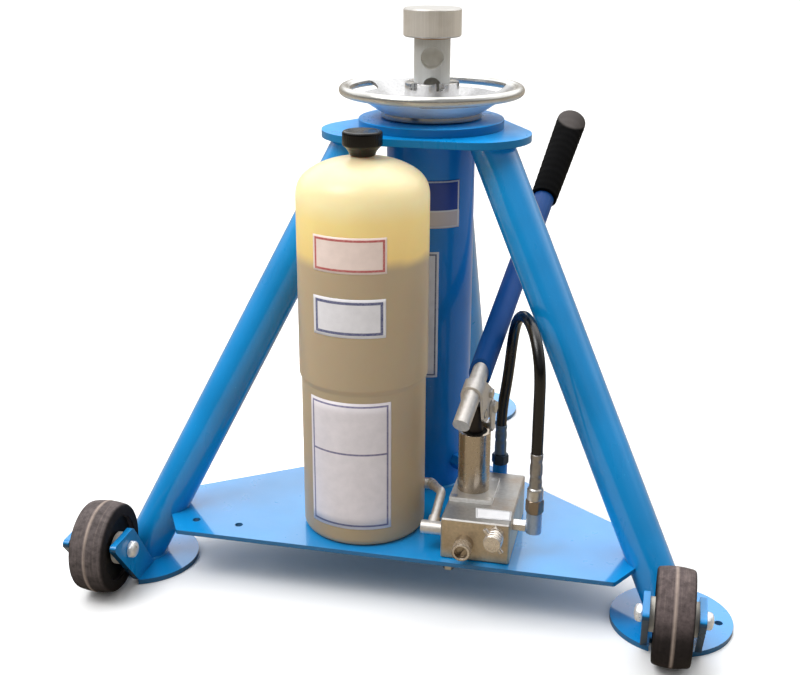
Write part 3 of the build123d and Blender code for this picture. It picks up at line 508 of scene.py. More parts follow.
@dataclass(frozen=True)
class Poly(Finish):
    """Translucent tank plastic, clear above the fluid and clouded by it below.

    A weak light of its own stands for the daylight that comes through the wall.
    """

    foot: float = 0.06
    top: float = 0.5
    fluid: float = 0.385
    wet: Stops = ((0.0, (164, 144, 116)), (0.42, (177, 157, 130)))
    shore: tuple[Colour, Colour] = ((183, 161, 132), (226, 197, 124))
    # Dry wall colours; from the shoulder up they turn paler as painted light on the dome, which looks up.
    dry_and_lit: Stops = ((0.84, (238, 211, 138)), (0.885, (244, 225, 172)),
                  (0.93, (238, 218, 170)), (1.0, (228, 209, 174)))
    shore_half: float = 0.015
    glow: Pair = (0.11, 0.27)

    def draw(self, g: Graph) -> None:
        """Lay the nodes of the finish, as colours by height that change at the fluid's surface.

        Args:
            g: Nodes of its material.
        """
        at = g.spot()
        wave = g.span(g.noise(at, scale=14.0, detail=2.0), (0.2, 0.8), (-0.004, 0.004))
        height = g.calc("ADD", g.axes(at)[2], wave)
        whole = (self.foot, self.top)
        level = (self.fluid - self.foot) / (self.top - self.foot)
        shore = tuple(zip((level - self.shore_half, level + self.shore_half), self.shore))
        colour = g.ramp(g.span(height, whole, RISING, "LINEAR"), self.wet + shore + self.dry_and_lit)
        cloud = g.span(g.noise(at, scale=20.0), MIDDLE, (0.0, 0.14))
        colour = g.blend(cloud, colour, self.colour)
        rough = g.span(g.span(height, whole, RISING), RISING, (0.4, 0.3))
        g.shade(Base_Color=colour, Roughness=rough, Subsurface_Weight=0.35, Subsurface_Scale=0.02)
        through = g.span(height, (self.fluid - 0.006, self.fluid + 0.006), self.glow)
        fade = g.span(height, (self.top - 0.045, self.top - 0.015), FALLING)
        g.shade(Emission_Color=colour, Emission_Strength=g.calc("MULTIPLY", through, fade))
        g.bump(g.noise(at, scale=60.0, detail=2.0), strength=0.05, depth=0.002)


@dataclass(frozen=True)
class Label(Finish):
    """Blank printed decal: paper, a border line and rules across it, by the piece's own UV in metres."""

    edge: Colour = (60, 60, 90)
    size: Pair = (0.05, 0.03)
    inset: float = 0.004
    line: float = 0.0016
    rules: tuple[float, ...] = ()
    band: Colour | None = None
    band_top: float = 0.0

    def draw(self, g: Graph) -> None:
        """Lay the nodes of the finish, as the distance from the nearest edge of the label.

        Args:
            g: Nodes of its material.
        """
        u, v, _ = g.axes(g.add("UVMap", {}, uv_map=LABEL_MAP).outputs[0])
        wide, tall = self.size
        from_side = g.calc("MINIMUM", u, g.calc("SUBTRACT", wide, u))
        from_end = g.calc("MINIMUM", v, g.calc("SUBTRACT", tall, v))
        off = g.calc("MINIMUM", from_side, from_end)
        ink = self.stripe(g, g.calc("SUBTRACT", off, self.inset))
        for rule in self.rules:
            across = self.stripe(g, g.calc("SUBTRACT", v, rule * tall))
            within = g.span(off, (self.inset, self.inset * 1.05), RISING)
            ink = g.calc("MAXIMUM", ink, g.calc("MULTIPLY", across, within))
        at = g.spot()
        paper = g.tones(g.noise(at, scale=90.0, detail=4.0), self.colour, low=0.97, high=1.02)
        if self.band is not None:
            top = self.band_top * tall
            paper = g.blend(g.span(v, (top, top + 0.0003), FALLING), paper, self.band)
        wear = g.span(g.noise(at, scale=500.0), (0.3, 0.75), (0.95, 0.75))
        colour = g.blend(g.calc("MULTIPLY", ink, wear), paper, self.edge)
        g.shade(Base_Color=colour, Roughness=g.span(g.noise(at, scale=40.0), MIDDLE, (0.32, 0.44)))

    def stripe(self, g: Graph, off: Socket) -> Socket:
        """A line of ink around the places where a distance is nought."""
        return g.span(g.calc("ABSOLUTE", off), (self.line * 0.4, self.line * 0.6), FALLING)


class Palette:
    """Finishes of the jack."""

    BLUE = Paint("blue_enamel", (10, 142, 212))
    # Painted shade: the plates' level cut edges are darker.
    PLATE = replace(BLUE, name="plate_enamel", plate=UP)
    # Painted shade: the lugs' faces that look neither up nor along X are half as bright.
    LUG = Paint("lug_enamel", (10, 138, 208), coat=0.5, plate=RIGHT, cut_shade_tone=0.5)
    # Painted light: a lighter copy of the blue enamel for the top plate and head flange, which the handwheel
    # shades.
    TOP = Paint("top_enamel_lit", (12, 156, 232), coat=0.12, plate=UP)
    # Painted shade: a darker copy of the blue enamel for the column and its pipe.
    COLUMN_SHADED = Paint("column_enamel_shaded", (8, 122, 204), coat=0.3)
    HANDLE = Paint("handle_enamel", (6, 74, 143), rough=0.45, coat=0.0)
    FLOOR = Ground("studio_floor", (250, 250, 250))
    ZINC = Metal("zinc_plate", (200, 198, 194), rough=0.34, stained=0.1)
    MATTE = Metal("matte_zinc", (216, 212, 207), rough=0.46, stained=0.1, shine=0.8)
    BRIGHT = Metal("bright_zinc", (216, 214, 212), rough=0.24, stained=0.06)
    DARK = Metal("black_oxide", (60, 57, 57), rough=0.4, stain=(86, 76, 66), stained=0.3)
    NUT = Metal("brown_zinc", (150, 136, 120), rough=0.34, stain=(100, 80, 62), stained=0.4)
    NUT_DARK = Metal("blued_nut", (58, 70, 84), rough=0.34, stain=(60, 56, 52), stained=0.3)
    # Painted reflection: the block's upright faces are a warm tan.
    BLOCK = Metal("milled_steel", (168, 166, 163), rough=0.46, lines=0.03, spread=0.07,
                  stain=(150, 124, 92), stained=0.45, shine=0.85, side=(202, 185, 158))
    # Painted highlight: the flange's upright sides are near white.
    FLANGE = Metal("flange_steel", (176, 172, 166), rough=0.42, stained=0.12, shine=0.5,
                   side=(250, 248, 244))
    KNOB = Metal("knob_steel", (226, 217, 206), rough=0.28, stain=(140, 118, 92), stained=0.35, shine=0.85)
    PLUG = Metal("plug_steel", (178, 164, 146), rough=0.36, stain=(110, 92, 72), stained=0.35, shine=0.95)
    AXLE = Metal("axle_zinc", (246, 246, 245), stained=0.04, shine=0.5)
    # Painted light: the load head's upright sides are lighter.
    NICKEL = Metal("satin_nickel", (184, 182, 178), rough=0.4, grain=Grain.ALONG_Z, lines=0.03, spread=0.035,
                   stain=(184, 176, 164), stained=0.3, shine=0.8, side=(238, 236, 233))
    # Painted light: the screw's upright sides take their own tone, and within the core radius its cross hole
    # is near white.
    SCREW = replace(NICKEL, name="screw_nickel", colour=(200, 199, 196), shine=0.5, side=(206, 208, 207),
                    core_light=(0.0175, (255, 254, 250)))
    # Painted light: the handwheel's faces that look down are near white and less shiny, and beyond the rim
    # radius it is lighter.
    CHROME = Metal("handwheel_chrome", (160, 160, 161), rough=0.2, lines=0.01, stain=(138, 136, 132),
                   stained=0.2, shine=0.8, under=(0.2, (248, 248, 248)), rim_light=(0.0925, (202, 201, 197)))
    RAM = Metal("ram_chrome", (226, 226, 226), rough=0.18, lines=0.005, spread=0.02, stained=0.06)
    BRONZE = Metal("bronze", (172, 128, 74), rough=0.34, grain=Grain.TURNED)
    BARREL = Metal("ground_barrel", (186, 174, 158), rough=0.24, lines=0.01, spread=0.03,
                   stain=(164, 142, 114))
    ELBOW = Metal("elbow_zinc", (170, 184, 200), rough=0.44, stained=0.1, shine=0.7)
    FERRULE_BLUE = Metal("ferrule_blue_zinc", (104, 120, 138), rough=0.4, stained=0.08)
    FERRULE_GREY = Metal("ferrule_grey_zinc", (160, 158, 156), rough=0.36, stained=0.1)
    HUB = Plastic("hub_plastic", (16, 15, 15), rough=0.5, shine=0.3)
    SPACER = Plastic("spacer_plastic", (206, 200, 190), rough=0.45)
    CAP = Plastic("cap_plastic", (5, 4, 4), rough=0.18, scuff=(52, 32, 30), scuffed=0.25, shine=0.35)
    SEAL = Rubber("seal_rubber", (18, 18, 18), dusty=0.15)
    HOSE = Rubber("hose_rubber", (6, 6, 7), dust=(22, 22, 24), dusty=0.3, rough=0.2, shine=0.5)
    GRIP = Rubber("grip_rubber", (8, 8, 9), dust=(22, 21, 21), dusty=0.25, rough=0.62, shine=0.02)
    TYRE = Rubber("tyre_rubber", (25, 23, 23), dusty=1.0)
    FLUID = Plastic("fluid", (190, 150, 80), rough=0.1)
    TANK = Poly("tank_poly", (198, 172, 126))


@dataclass
class Shape:
    """Points and four-sided faces of one mesh, gathered from several grids."""

    points: list[Array] = field(default_factory=list)
    quads: list[Array] = field(default_factory=list)
    spots: list[Array] = field(default_factory=list)
    finishes: list[Array] = field(default_factory=list)
    count: int = 0
    merge: float = 1e-6
    sliver: float = 1e-7
    thickness: float = 0.0002

    def grid(self, points: Array, loop_rows: bool = False, loop_columns: bool = True,
             uv: Array | None = None, finish: int = 0) -> "Shape":
        """Add a grid of points, joined into faces along both directions.

        Args:
            points: Rows by columns by three coordinates, in metres.
            loop_rows: Whether the last row joins the first.
            loop_columns: Whether the last column joins the first.
            uv: Rows by columns by two label coordinates.
            finish: Number of the finish of these faces.

        Returns:
            The shape itself.
        """
        rows, columns = points.shape[:2]
        row, column = np.ogrid[:rows - (not loop_rows), :columns - (not loop_columns)]
        here, below = row * columns, (row + 1) % rows * columns
        beside = (column + 1) % columns
        corners = np.broadcast_arrays(here + column, here + beside, below + beside, below + column)
        quads = np.stack(corners, axis=-1).reshape(-1, 4)
        self.quads.append(quads + self.count)
        self.points.append(points.reshape(-1, 3))
        self.spots.append(np.zeros((rows * columns, 2)) if uv is None else uv.reshape(-1, 2))
        self.finishes.append(np.full(len(quads), finish))
        self.count += rows * columns
        return self

    def mesh(self, name: str) -> bpy.types.Mesh:
        """Make the mesh, and close its seams and poles.

        Args:
            name: Name of the mesh.

        Returns:
            The mesh, with its label coordinates and the numbers of its finishes.
        """
        mesh = bpy.data.meshes.new(name)
        mesh.from_pydata(np.concatenate(self.points).tolist(), [], np.concatenate(self.quads).tolist())
        corner = np.empty(len(mesh.loops), dtype=np.int32)
        mesh.loops.foreach_get("vertex_index", corner)
        layer = mesh.uv_layers.new(name=LABEL_MAP)
        layer.data.foreach_set("uv", np.concatenate(self.spots)[corner].astype(np.float32).ravel())
        mesh.polygons.foreach_set("material_index", np.concatenate(self.finishes).astype(np.int32))
        work = bmesh.new()
        work.from_mesh(mesh)
        bmesh.ops.remove_doubles(work, verts=work.verts, dist=self.merge)
        bmesh.ops.dissolve_degenerate(work, edges=work.edges, dist=self.sliver)
        bmesh.ops.recalc_face_normals(work, faces=work.faces)
        work.to_mesh(mesh)
        work.free()
        return mesh

    def build(self, name: str, finishes: list[Finish], body: Body, slot: Slot,
              replaces: tuple[str, ...] = (), sharp: float = 40.0, sheet: bool = False) -> None:
        """Make the object, dress it and hand it to its body.

        Args:
            name: Name of the piece.
            finishes: Finishes, by the grids' numbers.
            body: Body that it rides on.
            slot: Its material slot; not used.
            replaces: CAD nodes that it stands for.
            sharp: Angle in degrees above which an edge stays sharp.
            sheet: Whether it is an open sheet, to be given a thickness.
        """
        mesh = self.mesh(name)
        for finish in finishes:
            mesh.materials.append(finish.material())
        mesh.shade_smooth()
        mesh.set_sharp_from_angle(angle=math.radians(sharp))
        made = placed(name, mesh)
        if sheet:
            thick = made.modifiers.new("thickness", "SOLIDIFY")
            thick.thickness = self.thickness
            thick.offset = 0.0
        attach(made, body.value)
        if replaces:
            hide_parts(*replaces)
        LOG.info("%s: %d faces on %s", name, len(mesh.polygons), body.value)


def around(steps: int) -> Array:
    """Angles of one turn in even steps, without the last."""
    return np.linspace(0.0, TURN, steps, endpoint=False)


def turned(origin: Point, axis: Point, profile: Array, turns: int = TURNS,
           swell: Array | None = None) -> Array:
    """Grid of a profile turned about an axis.

    Each point lies at the origin plus its radius, times one plus the swell, in the direction of the
    turn, plus its height along the axis.

    Args:
        origin: Foot of the axis, in metres.
        axis: Direction of the axis.
        profile: Radius and height pairs.
        turns: Steps around the axis.
        swell: Share by which each point's radius grows, rows by turns.

    Returns:
        Rows by turns by three coordinates.
    """
    along = np.array(axis) / np.linalg.norm(axis)
    side = np.cross(UP if abs(along[2]) < 0.9 else RIGHT, along)
    side = side / np.linalg.norm(side)
    angle = around(turns)[:, None]
    radius = profile[:, :1] * np.ones(turns)
    if swell is not None:
        radius = radius * (1.0 + swell)
    ring = np.cos(angle) * side + np.sin(angle) * np.cross(along, side)
    return np.array(origin) + radius[..., None] * ring + profile[:, 1][:, None, None] * along


def rounded(corners: Points, steps: int = 6) -> Array:
    """Profile through corners, each rounded by an arc.

    The arc at a corner is the quadratic curve between points on both sides of it, at its rounding's
    distance.

    Args:
        corners: Radius, height and rounding distance of each corner.
        steps: Points of each arc.

    Returns:
        Radius and height pairs.
    """
    spots, sizes = np.array(corners)[:, :2], np.array(corners)[1:, 2]
    share = np.linspace(0.0, 1.0, steps)[:, None]
    runs = [spots[:1]]
    for before, spot, after, size in zip(spots, spots[1:], spots[2:], sizes):
        ways = np.array([before, after]) - spot
        start, end = spot + ways / np.linalg.norm(ways, axis=1, keepdims=True) * size
        arc = (1 - share) ** 2 * start + 2 * share * (1 - share) * spot + share ** 2 * end
        runs.append(arc if size else spot[None])
    return np.concatenate([*runs, spots[-1:]])


def domed(radius: float, low: float, rise: float, power: float = 1.0) -> Array:
    """Profile of a round end.

    The radius falls as the cosine of an angle, raised to a power, while the height grows as its sine.

    Args:
        radius: Radius at its foot.
        low: Height of its foot.
        rise: Height of its top above the foot.
        power: Power of the cosine.

    Returns:
        Radius and height pairs.
    """
    lean = np.linspace(0.0, math.pi / 2, 14)
    return np.stack([radius * np.cos(lean) ** power, low + rise * np.sin(lean)], axis=1)


def six_sided(radius: float, low: float, high: float, edge: float) -> tuple[Array, Array]:
    """Profile and swell of a hexagon bar whose end corners are turned off.

    The side's radius is the flat's distance divided by the cosine of the angle from the flat's middle,
    held under a cone at both ends.

    Args:
        radius: Distance from the axis to a corner.
        low: Lower end along the axis.
        high: Upper end along the axis.
        edge: Width of the turned edge.

    Returns:
        Profile and swell for a turned grid.
    """
    flat = radius * math.cos(math.pi / 6)
    face = flat * 0.97
    side = flat / np.cos((around(TURNS) + math.pi / 6) % (math.pi / 3) - math.pi / 6)
    rise = np.array([0.0, 0.0, 0.25, 0.5, 1.0])
    height = np.concatenate([low + rise * edge, high - rise[::-1] * edge])
    limit = face + np.concatenate([rise, rise[::-1]]) * (radius - face)
    reach = np.minimum(side[None, :], limit[:, None])
    reach[[0, -1]] = 0.0
    profile = np.stack([np.full(len(height), radius), height], axis=1)
    return profile, reach / radius - 1.0


@dataclass(frozen=True)
class Lamp:
    """A soft rectangular lamp."""

    name: str
    at: Point
    size: Pair
    power: float


@dataclass
class Studio:
    """Floor, lights and camera."""

    floor_half: float = 30.0
    camera_at: Point = (0.2730, -1.3458, 0.7297)
    heading: float = 102.92
    pitch: float = 19.567
    roll: float = 0.004
    lens: float = 53.91
    sensor: float = 36.0
    far_clip: float = 100.0
    glow: Pair = (0.32, 2.0)
    sky: Stops = ((0.0, (120, 112, 100)), (0.26, (140, 136, 130)), (0.44, (250, 250, 250)),
                  (1.0, (255, 255, 255)))
    sun_power: float = 1.3
    sun_width: float = 60.0
    sun_way: Point = (0.45, 0.35, -1.0)
    lamps: tuple[Lamp, ...] = (
        Lamp("key", (-1.3, -1.3, 2.9), (1.4, 1.4), 40.0),
        Lamp("top", (0.2, 0.9, 2.8), (3.0, 2.0), 24.0),
    )
    lamp_aim: Point = (0.0, 0.0, 0.3)

    def build(self) -> None:
        """Set up the whole studio."""
        self.floor()
        self.world()
        self.lights()
        self.camera()
        bpy.context.scene.view_settings.view_transform = "Standard"

    def floor(self) -> None:
        """Lay a plain pale floor, as a flat grid."""
        line = np.linspace(-self.floor_half, self.floor_half, 9)
        x, y = np.meshgrid(line, line, indexing="ij")
        shape = Shape().grid(np.stack([x, y, np.zeros_like(x)], axis=-1), loop_columns=False)
        mesh = bpy.data.meshes.new("floor")
        mesh.from_pydata(shape.points[0].tolist(), [], shape.quads[0].tolist())
        mesh.materials.append(Palette.FLOOR.material())
        placed("floor", mesh)

    def world(self) -> None:
        """Light the surroundings: by height from warm and dim to white, and brighter behind the jack.

        They are plain white to look at.
        """
        world = bpy.data.worlds.new("studio")
        g = Graph(world)
        back = g.tree.nodes["Background"]
        _, depth, height = g.axes(g.add("TexCoord", {}).outputs["Generated"])
        seen = g.add("LightPath", {}).outputs["Is Camera Ray"]
        sky = g.ramp(g.span(height, (-0.2, 1.0), RISING), self.sky)
        g.feed(back, "Color", g.blend(seen, sky, self.sky[-1][1]))
        g.feed(back, "Strength", g.calc("MAXIMUM", g.span(depth, (-0.5, 0.8), self.glow), seen))
        bpy.context.scene.world = world

    def lights(self) -> None:
        """Hang one even sun over the whole floor, from the upper left in front, and the soft lamps."""
        sun = bpy.data.lights.new("sun", "SUN")
        sun.energy, sun.angle = self.sun_power, math.radians(self.sun_width)
        placed("sun", sun).rotation_euler = Vector(self.sun_way).to_track_quat("-Z", "Y").to_euler()
        for lamp in self.lamps:
            light = bpy.data.lights.new(lamp.name, "AREA")
            light.shape = "RECTANGLE"
            light.size, light.size_y = lamp.size
            light.energy = lamp.power
            made = placed(lamp.name, light)
            made.location = lamp.at
            way = Vector(self.lamp_aim) - Vector(lamp.at)
            made.rotation_euler = way.to_track_quat("-Z", "Y").to_euler()

    def camera(self) -> None:
        """Stand the camera where the picture was taken, turned, tilted down and then rolled."""
        lens = bpy.data.cameras.new("camera")
        lens.lens, lens.sensor_width, lens.clip_end = self.lens, self.sensor, self.far_clip
        tilt = Euler((math.radians(90.0 - self.pitch), 0.0, math.radians(self.heading - 90.0)))
        turn = tilt.to_matrix().to_4x4() @ Matrix.Rotation(self.roll, 4, "Z")
        made = placed("camera", lens)
        made.matrix_world = Matrix.Translation(self.camera_at) @ turn
        bpy.context.scene.camera = made


@dataclass(frozen=True)
class HoseEnd:
    """One end of the hose: X and Y, and heights of its nut's foot and its ferrule's foot and top."""

    at: Pair
    nut: float
    low: float
    high: float


@dataclass
class PressureLine:
    """Hose from the cylinder to the pump, with its crimped ends and nuts."""

    route: Points = (
        (0.1020, -0.0700, 0.1670),
        (0.1020, -0.0700, 0.1860),
        (0.1080, -0.0710, 0.2280),
        (0.1125, -0.0740, 0.2800),
        (0.1185, -0.0900, 0.3050),
        (0.1288, -0.1151, 0.3185),
        (0.1404, -0.1428, 0.3175),
        (0.1503, -0.1665, 0.3020),
        (0.1558, -0.1794, 0.2760),
        (0.1560, -0.1800, 0.2330),
        (0.1560, -0.1800, 0.1860),
    )
    length: float = 0.350
    diameter: float = 0.0125
    ends: tuple[HoseEnd, HoseEnd] = (
        HoseEnd((0.1020, -0.0700), 0.118, 0.130, 0.167),
        HoseEnd((0.1560, -0.1800), 0.116, 0.132, 0.186),
    )
    ferrule_r: float = 0.0069
    edge: float = 0.0005
    crimps: float = 3.0
    crimp: float = 0.0006
    crimp_shift: float = 1.2
    plain: float = 0.22
    collar: Points = ((0.0060, 0.0, 0.0), (0.0088, 0.0, 0.0008), (0.0088, 0.0125, 0.0015),
                      (0.0066, 0.0145, 0.0))
    nut_r: float = 0.0100
    nut_edge: float = 0.0016

    def build(self) -> None:
        """Build the hose and its ends."""
        self.hose()
        self.fittings()

    def fittings(self) -> None:
        """Build both ferrules and both swivel nuts.

        A ferrule is a turned sleeve whose radius falls by a smooth wave in three crimped bands; the pump's
        one has a plain collar at its foot. A nut is a hexagon with turned ends.
        """
        ferrules, nuts = Shape(), Shape()
        lip = self.ferrule_r - self.edge
        for number, end in enumerate(self.ends):
            height = np.linspace(end.low + self.edge, end.high - self.edge, 90)
            share = (height - end.low) / (end.high - end.low)
            wave = np.sin(share * TURN * self.crimps - self.crimp_shift)
            crimp = self.crimp * np.clip(wave, 0.0, 1.0) * (share > self.plain)
            side = np.stack([self.ferrule_r - crimp, height], axis=1)
            foot, top = [(0.0, end.low), (lip, end.low)], [(lip, end.high), (0.0, end.high)]
            sleeve = turned((*end.at, 0.0), UP, np.concatenate([foot, side, top]), turns=64)
            ferrules.grid(sleeve, finish=number)
            profile, swell = six_sided(self.nut_r, end.nut, end.low, self.nut_edge)
            nuts.grid(turned((*end.at, 0.0), UP, profile, swell=swell), finish=number)
        collar = turned((*end.at, end.low), UP, rounded(self.collar), turns=64)
        ferrules.grid(collar, loop_rows=True, finish=2)
        finishes = [Palette.FERRULE_BLUE, Palette.FERRULE_GREY, Palette.ZINC]
        ferrules.build("crimped_ferrules", finishes, Body.FRAME, Slot.ZINC, ("hose_ferrules",))
        finishes = [Palette.NUT_DARK, Palette.NUT]
        nuts.build("swivel_hexagons", finishes, Body.FRAME, Slot.DARK, ("swivel_nuts",), sharp=25.0)

    def hose(self) -> None:
        """Lay the hose as one open curve through the route."""
        curve = bpy.data.curves.new("pressure_line", "CURVE")
        curve.dimensions = "3D"
        spline = curve.splines.new("NURBS")
        spline.points.add(len(self.route) - 1)
        spline.points.foreach_set("co", np.insert(np.array(self.route), 3, 1.0, axis=1).ravel())
        spline.order_u = 3
        spline.use_endpoint_u = True
        spline.resolution_u = 10
        curve.bevel_depth = self.diameter / 2
        curve.bevel_resolution = 8
        curve.use_fill_caps = True
        curve.materials.append(Palette.HOSE.material())
        made = placed("pressure_line", curve)
        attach(made, Body.FRAME.value)
        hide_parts("pressure_hose")
        LOG.info("pressure_line: hose of %.0f mm", self.length / MM)


@dataclass(frozen=True)
class Wheel:
    """One front wheel: its side, its body, and the colour and heights of its dust, whose fade with height is
    painted light.
    """

    side: str
    body: Body
    dust: Colour
    heights: Pair


@dataclass
class Wheels:
    """Tyres of both front wheels and the fasteners of their axles.

    The tread is half a tyre's profile, from its bore to its mould line: radius, distance from the middle
    and rounding of each corner.
    """

    wheels: tuple[Wheel, Wheel] = (
        Wheel("right", Body.WHEEL_RIGHT, (104, 92, 91), (0.052, 0.082)),
        Wheel("left", Body.WHEEL_LEFT, (104, 95, 94), (0.004, 0.060)),
    )
    tread: Points = ((0.0361, 0.0197, 0.0), (0.0489, 0.0197, 0.0036), (0.0511, 0.0070, 0.0050),
                     (0.0511, 0.0010, 0.0003), (0.0515, 0.0006, 0.0003))
    seam_half: float = 0.0030
    lug_face: float = 0.0315
    head_r: float = 0.0105
    head_t: float = 0.0050
    head_edge: float = 0.0014
    dome_r: float = 0.0090
    dome_t: float = 0.0035
    shaft_r: float = 0.00635

    def build(self) -> None:
        """Build both tyres and the axle fasteners."""
        axles = Shape()
        for wheel in self.wheels:
            low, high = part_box(f"wheel_tyre_{wheel.side}")
            middle = tuple((low + high) / 2)
            self.tyre(wheel, middle)
            self.axle(axles, middle)
        axles.build("axle_fasteners", [Palette.AXLE], Body.FRAME, Slot.ZINC, ("axle_bolts",), sharp=25.0)

    def tyre(self, wheel: Wheel, middle: Point) -> None:
        """Build a tyre: a crowned tread with round shoulders and a mould line, turned about X.

        Args:
            wheel: Wheel that it turns with.
            middle: Centre of the wheel.
        """
        corners = (*((radius, -off, size) for radius, off, size in self.tread), *self.tread[::-1])
        finish = replace(Palette.TYRE, name=f"tyre_rubber_{wheel.side}", dust=wheel.dust,
                         heights=wheel.heights, seam=(middle[0], self.seam_half, self.tread[0][1]))
        shape = Shape().grid(turned(middle, RIGHT, rounded(corners), turns=128), loop_rows=True)
        shape.build(f"tyre_{wheel.side}", [finish], wheel.body, Slot.TYRE, (f"wheel_tyre_{wheel.side}",))

    def axle(self, shape: Shape, middle: Point) -> None:
        """Add an axle: a shaft, and at both ends a hexagon with a dome whose height falls as a circle does.

        Args:
            shape: Shape to add to.
            middle: Centre of the wheel.
        """
        face, top = self.lug_face, self.lug_face + self.head_t
        shaft = np.array([(0.0, -face), (self.shaft_r, -face), (self.shaft_r, face), (0.0, face)])
        shape.grid(turned(middle, RIGHT, shaft, turns=32))
        sunk = (face + top) / 2
        dome = np.concatenate([[(0.0, sunk), (self.dome_r, sunk)], domed(self.dome_r, top, self.dome_t)])
        profile, swell = six_sided(self.head_r, face, top, self.head_edge)
        for way in (1.0, -1.0):
            shape.grid(turned(middle, (way, 0.0, 0.0), profile, swell=swell))
            shape.grid(turned(middle, (way, 0.0, 0.0), dome, turns=48))


@dataclass
class Handle:
    """Rubber grip on the pump handle, whose end is grey on the side that looks up: a painted highlight."""

    foot: Point = (0.0813, -0.1360, 0.2410)
    turn: float = 8.2
    lift: float = 30.0
    start: float = 0.304
    end: float = 0.458
    radii: Pair = (0.0166, 0.0194)
    tube_r: float = 0.0131
    rounds: Pair = (0.0022, 0.0045)
    ringed: Pair = (0.02, 0.96)
    waves: int = 13
    wave: float = 0.00025
    end_wall: float = 0.006
    # Direction of the plane beyond which the grip's end is grey, a painted highlight.
    highlight_way: Point = (0.2942, -0.0556, 0.9541)

    def axis(self) -> Array:
        """Direction of the handle, from its turn and its lift."""
        turn, lift = math.radians(self.turn), math.radians(self.lift)
        return np.array([math.cos(lift) * math.sin(turn), math.cos(lift) * math.cos(turn), math.sin(lift)])

    def build(self) -> None:
        """Build the grip.

        Its radius widens evenly along the axis and falls by a small wave between its rings; both ends are
        round.
        """
        axis = self.axis()
        share = np.linspace(*self.ringed, 160)
        radius = self.radii[0] + (self.radii[1] - self.radii[0]) * share
        radius = radius - self.wave * (0.5 - 0.5 * np.cos(share * TURN * self.waves))
        along = self.start + (self.end - self.start) * share
        low = rounded(((self.tube_r, self.start, 0.0), (radius[0], self.start, self.rounds[0]),
                       (radius[0], along[0], 0.0)))
        high = rounded(((radius[-1], along[-1], 0.0), (radius[-1], self.end, self.rounds[1]),
                        (0.0, self.end, 0.0)))
        floor = self.end - self.end_wall
        inside = np.array([(0.0, floor), (self.tube_r, floor), (self.tube_r, self.start)])
        profile = np.concatenate([low, np.stack([radius, along], axis=1), high, inside])
        tip = tuple((np.array(self.foot) + axis * self.end).tolist())
        finish = replace(Palette.GRIP, tip=(tip, self.highlight_way))
        shape = Shape().grid(turned(self.foot, tuple(axis), profile, turns=72))
        shape.build("rubber_grip", [finish], Body.LEVER, Slot.GRIP, ("handle_grip",))


@dataclass
class Tank:
    """Shell of the reservoir and its ribbed filler cap.

    The neck and the cap are profiles: radius, height and rounding of each corner.
    """

    axis: Pair = (-0.045, -0.139)
    foot_z: float = 0.063
    foot_round: float = 0.009
    low_r: float = 0.0692
    wide_r: float = 0.0715
    step: Pair = (0.242, 0.251)
    dome: tuple[Pair, ...] = (
        (0.0715, 0.4465), (0.0711, 0.4520), (0.0699, 0.4580), (0.0675, 0.4632), (0.0640, 0.4677),
        (0.0590, 0.4722), (0.0525, 0.4764), (0.0450, 0.4800), (0.0360, 0.4830), (0.0265, 0.4850),
    )
    dome_order: int = 5
    neck: Points = ((0.0165, 0.4868, 0.0030), (0.0110, 0.4890, 0.0015), (0.0110, 0.5105, 0.0))
    wall: float = 0.003
    cap_profile: Points = (
        (0.0, 0.5110, 0.0), (0.01105, 0.5110, 0.0), (0.01105, 0.4890, 0.0), (0.0134, 0.4890, 0.0012),
        (0.0150, 0.4935, 0.0012), (0.0182, 0.4975, 0.0012), (0.0213, 0.5000, 0.0014),
        (0.0213, 0.5150, 0.0032), (0.0165, 0.5150, 0.0012), (0.0150, 0.5143, 0.0012), (0.0, 0.5143, 0.0),
    )
    ribbed: Pair = (0.0205, 0.5015)
    ribs: int = 48
    rib: float = 0.022

    def build(self) -> None:
        """Build the shell and the cap."""
        self.shell()
        self.cap()

    def outline(self, skin: float) -> Array:
        """Radius and height of the wall from foot to lip, drawn in by a skin.

        The wall widens at the step by half a cosine wave, and the dome is a smooth curve through its points.

        Args:
            skin: Distance from the outer face.

        Returns:
            Radius and height pairs.
        """
        foot, low = self.foot_z + skin, self.low_r - skin
        base = rounded(((0.0, foot, 0.0), (low, foot, self.foot_round), (low, self.step[0], 0.0)), steps=10)
        share = np.linspace(0.0, 1.0, 20)
        radius = self.low_r + (self.wide_r - self.low_r) * (0.5 - 0.5 * np.cos(math.pi * share))
        step = np.stack([radius - skin, self.step[0] + (self.step[1] - self.step[0]) * share], axis=1)
        curves = np.polyfit(np.linspace(0.0, 1.0, len(self.dome)), np.array(self.dome), self.dome_order)
        curve = np.stack([np.polyval(part, np.linspace(0.0, 1.0, 60)) for part in curves.T], axis=1)
        curve[:, 0] = np.minimum(curve[:, 0], self.wide_r)
        neck = rounded(((*curve[-1], 0.0), *self.neck))
        return np.concatenate([base, step[1:], np.concatenate([curve, neck]) - skin])

    def shell(self) -> None:
        """Build the shell: its outer outline and the same one drawn in by the wall, turned about its axis."""
        profile = np.concatenate([self.outline(0.0), self.outline(self.wall)[::-1]])
        shape = Shape().grid(turned((*self.axis, 0.0), UP, profile, turns=160))
        shape.build("tank_shell", [Palette.TANK], Body.FRAME, Slot.TANK, ("reservoir",), sharp=50.0)

    def cap(self) -> None:
        """Build the cap: a turned profile whose wide upper part is drawn in by a cosine of the turn."""
        profile = rounded(self.cap_profile)
        wide = (profile > self.ribbed).all(axis=1, keepdims=True)
        turns = 10 * self.ribs
        swell = -self.rib * wide * (0.5 + 0.5 * np.cos(around(turns) * self.ribs))
        shape = Shape().grid(turned((*self.axis, 0.0), UP, profile, turns, swell))
        shape.build("ribbed_cap", [Palette.CAP], Body.CAP, Slot.CAP, ("filler_cap",))


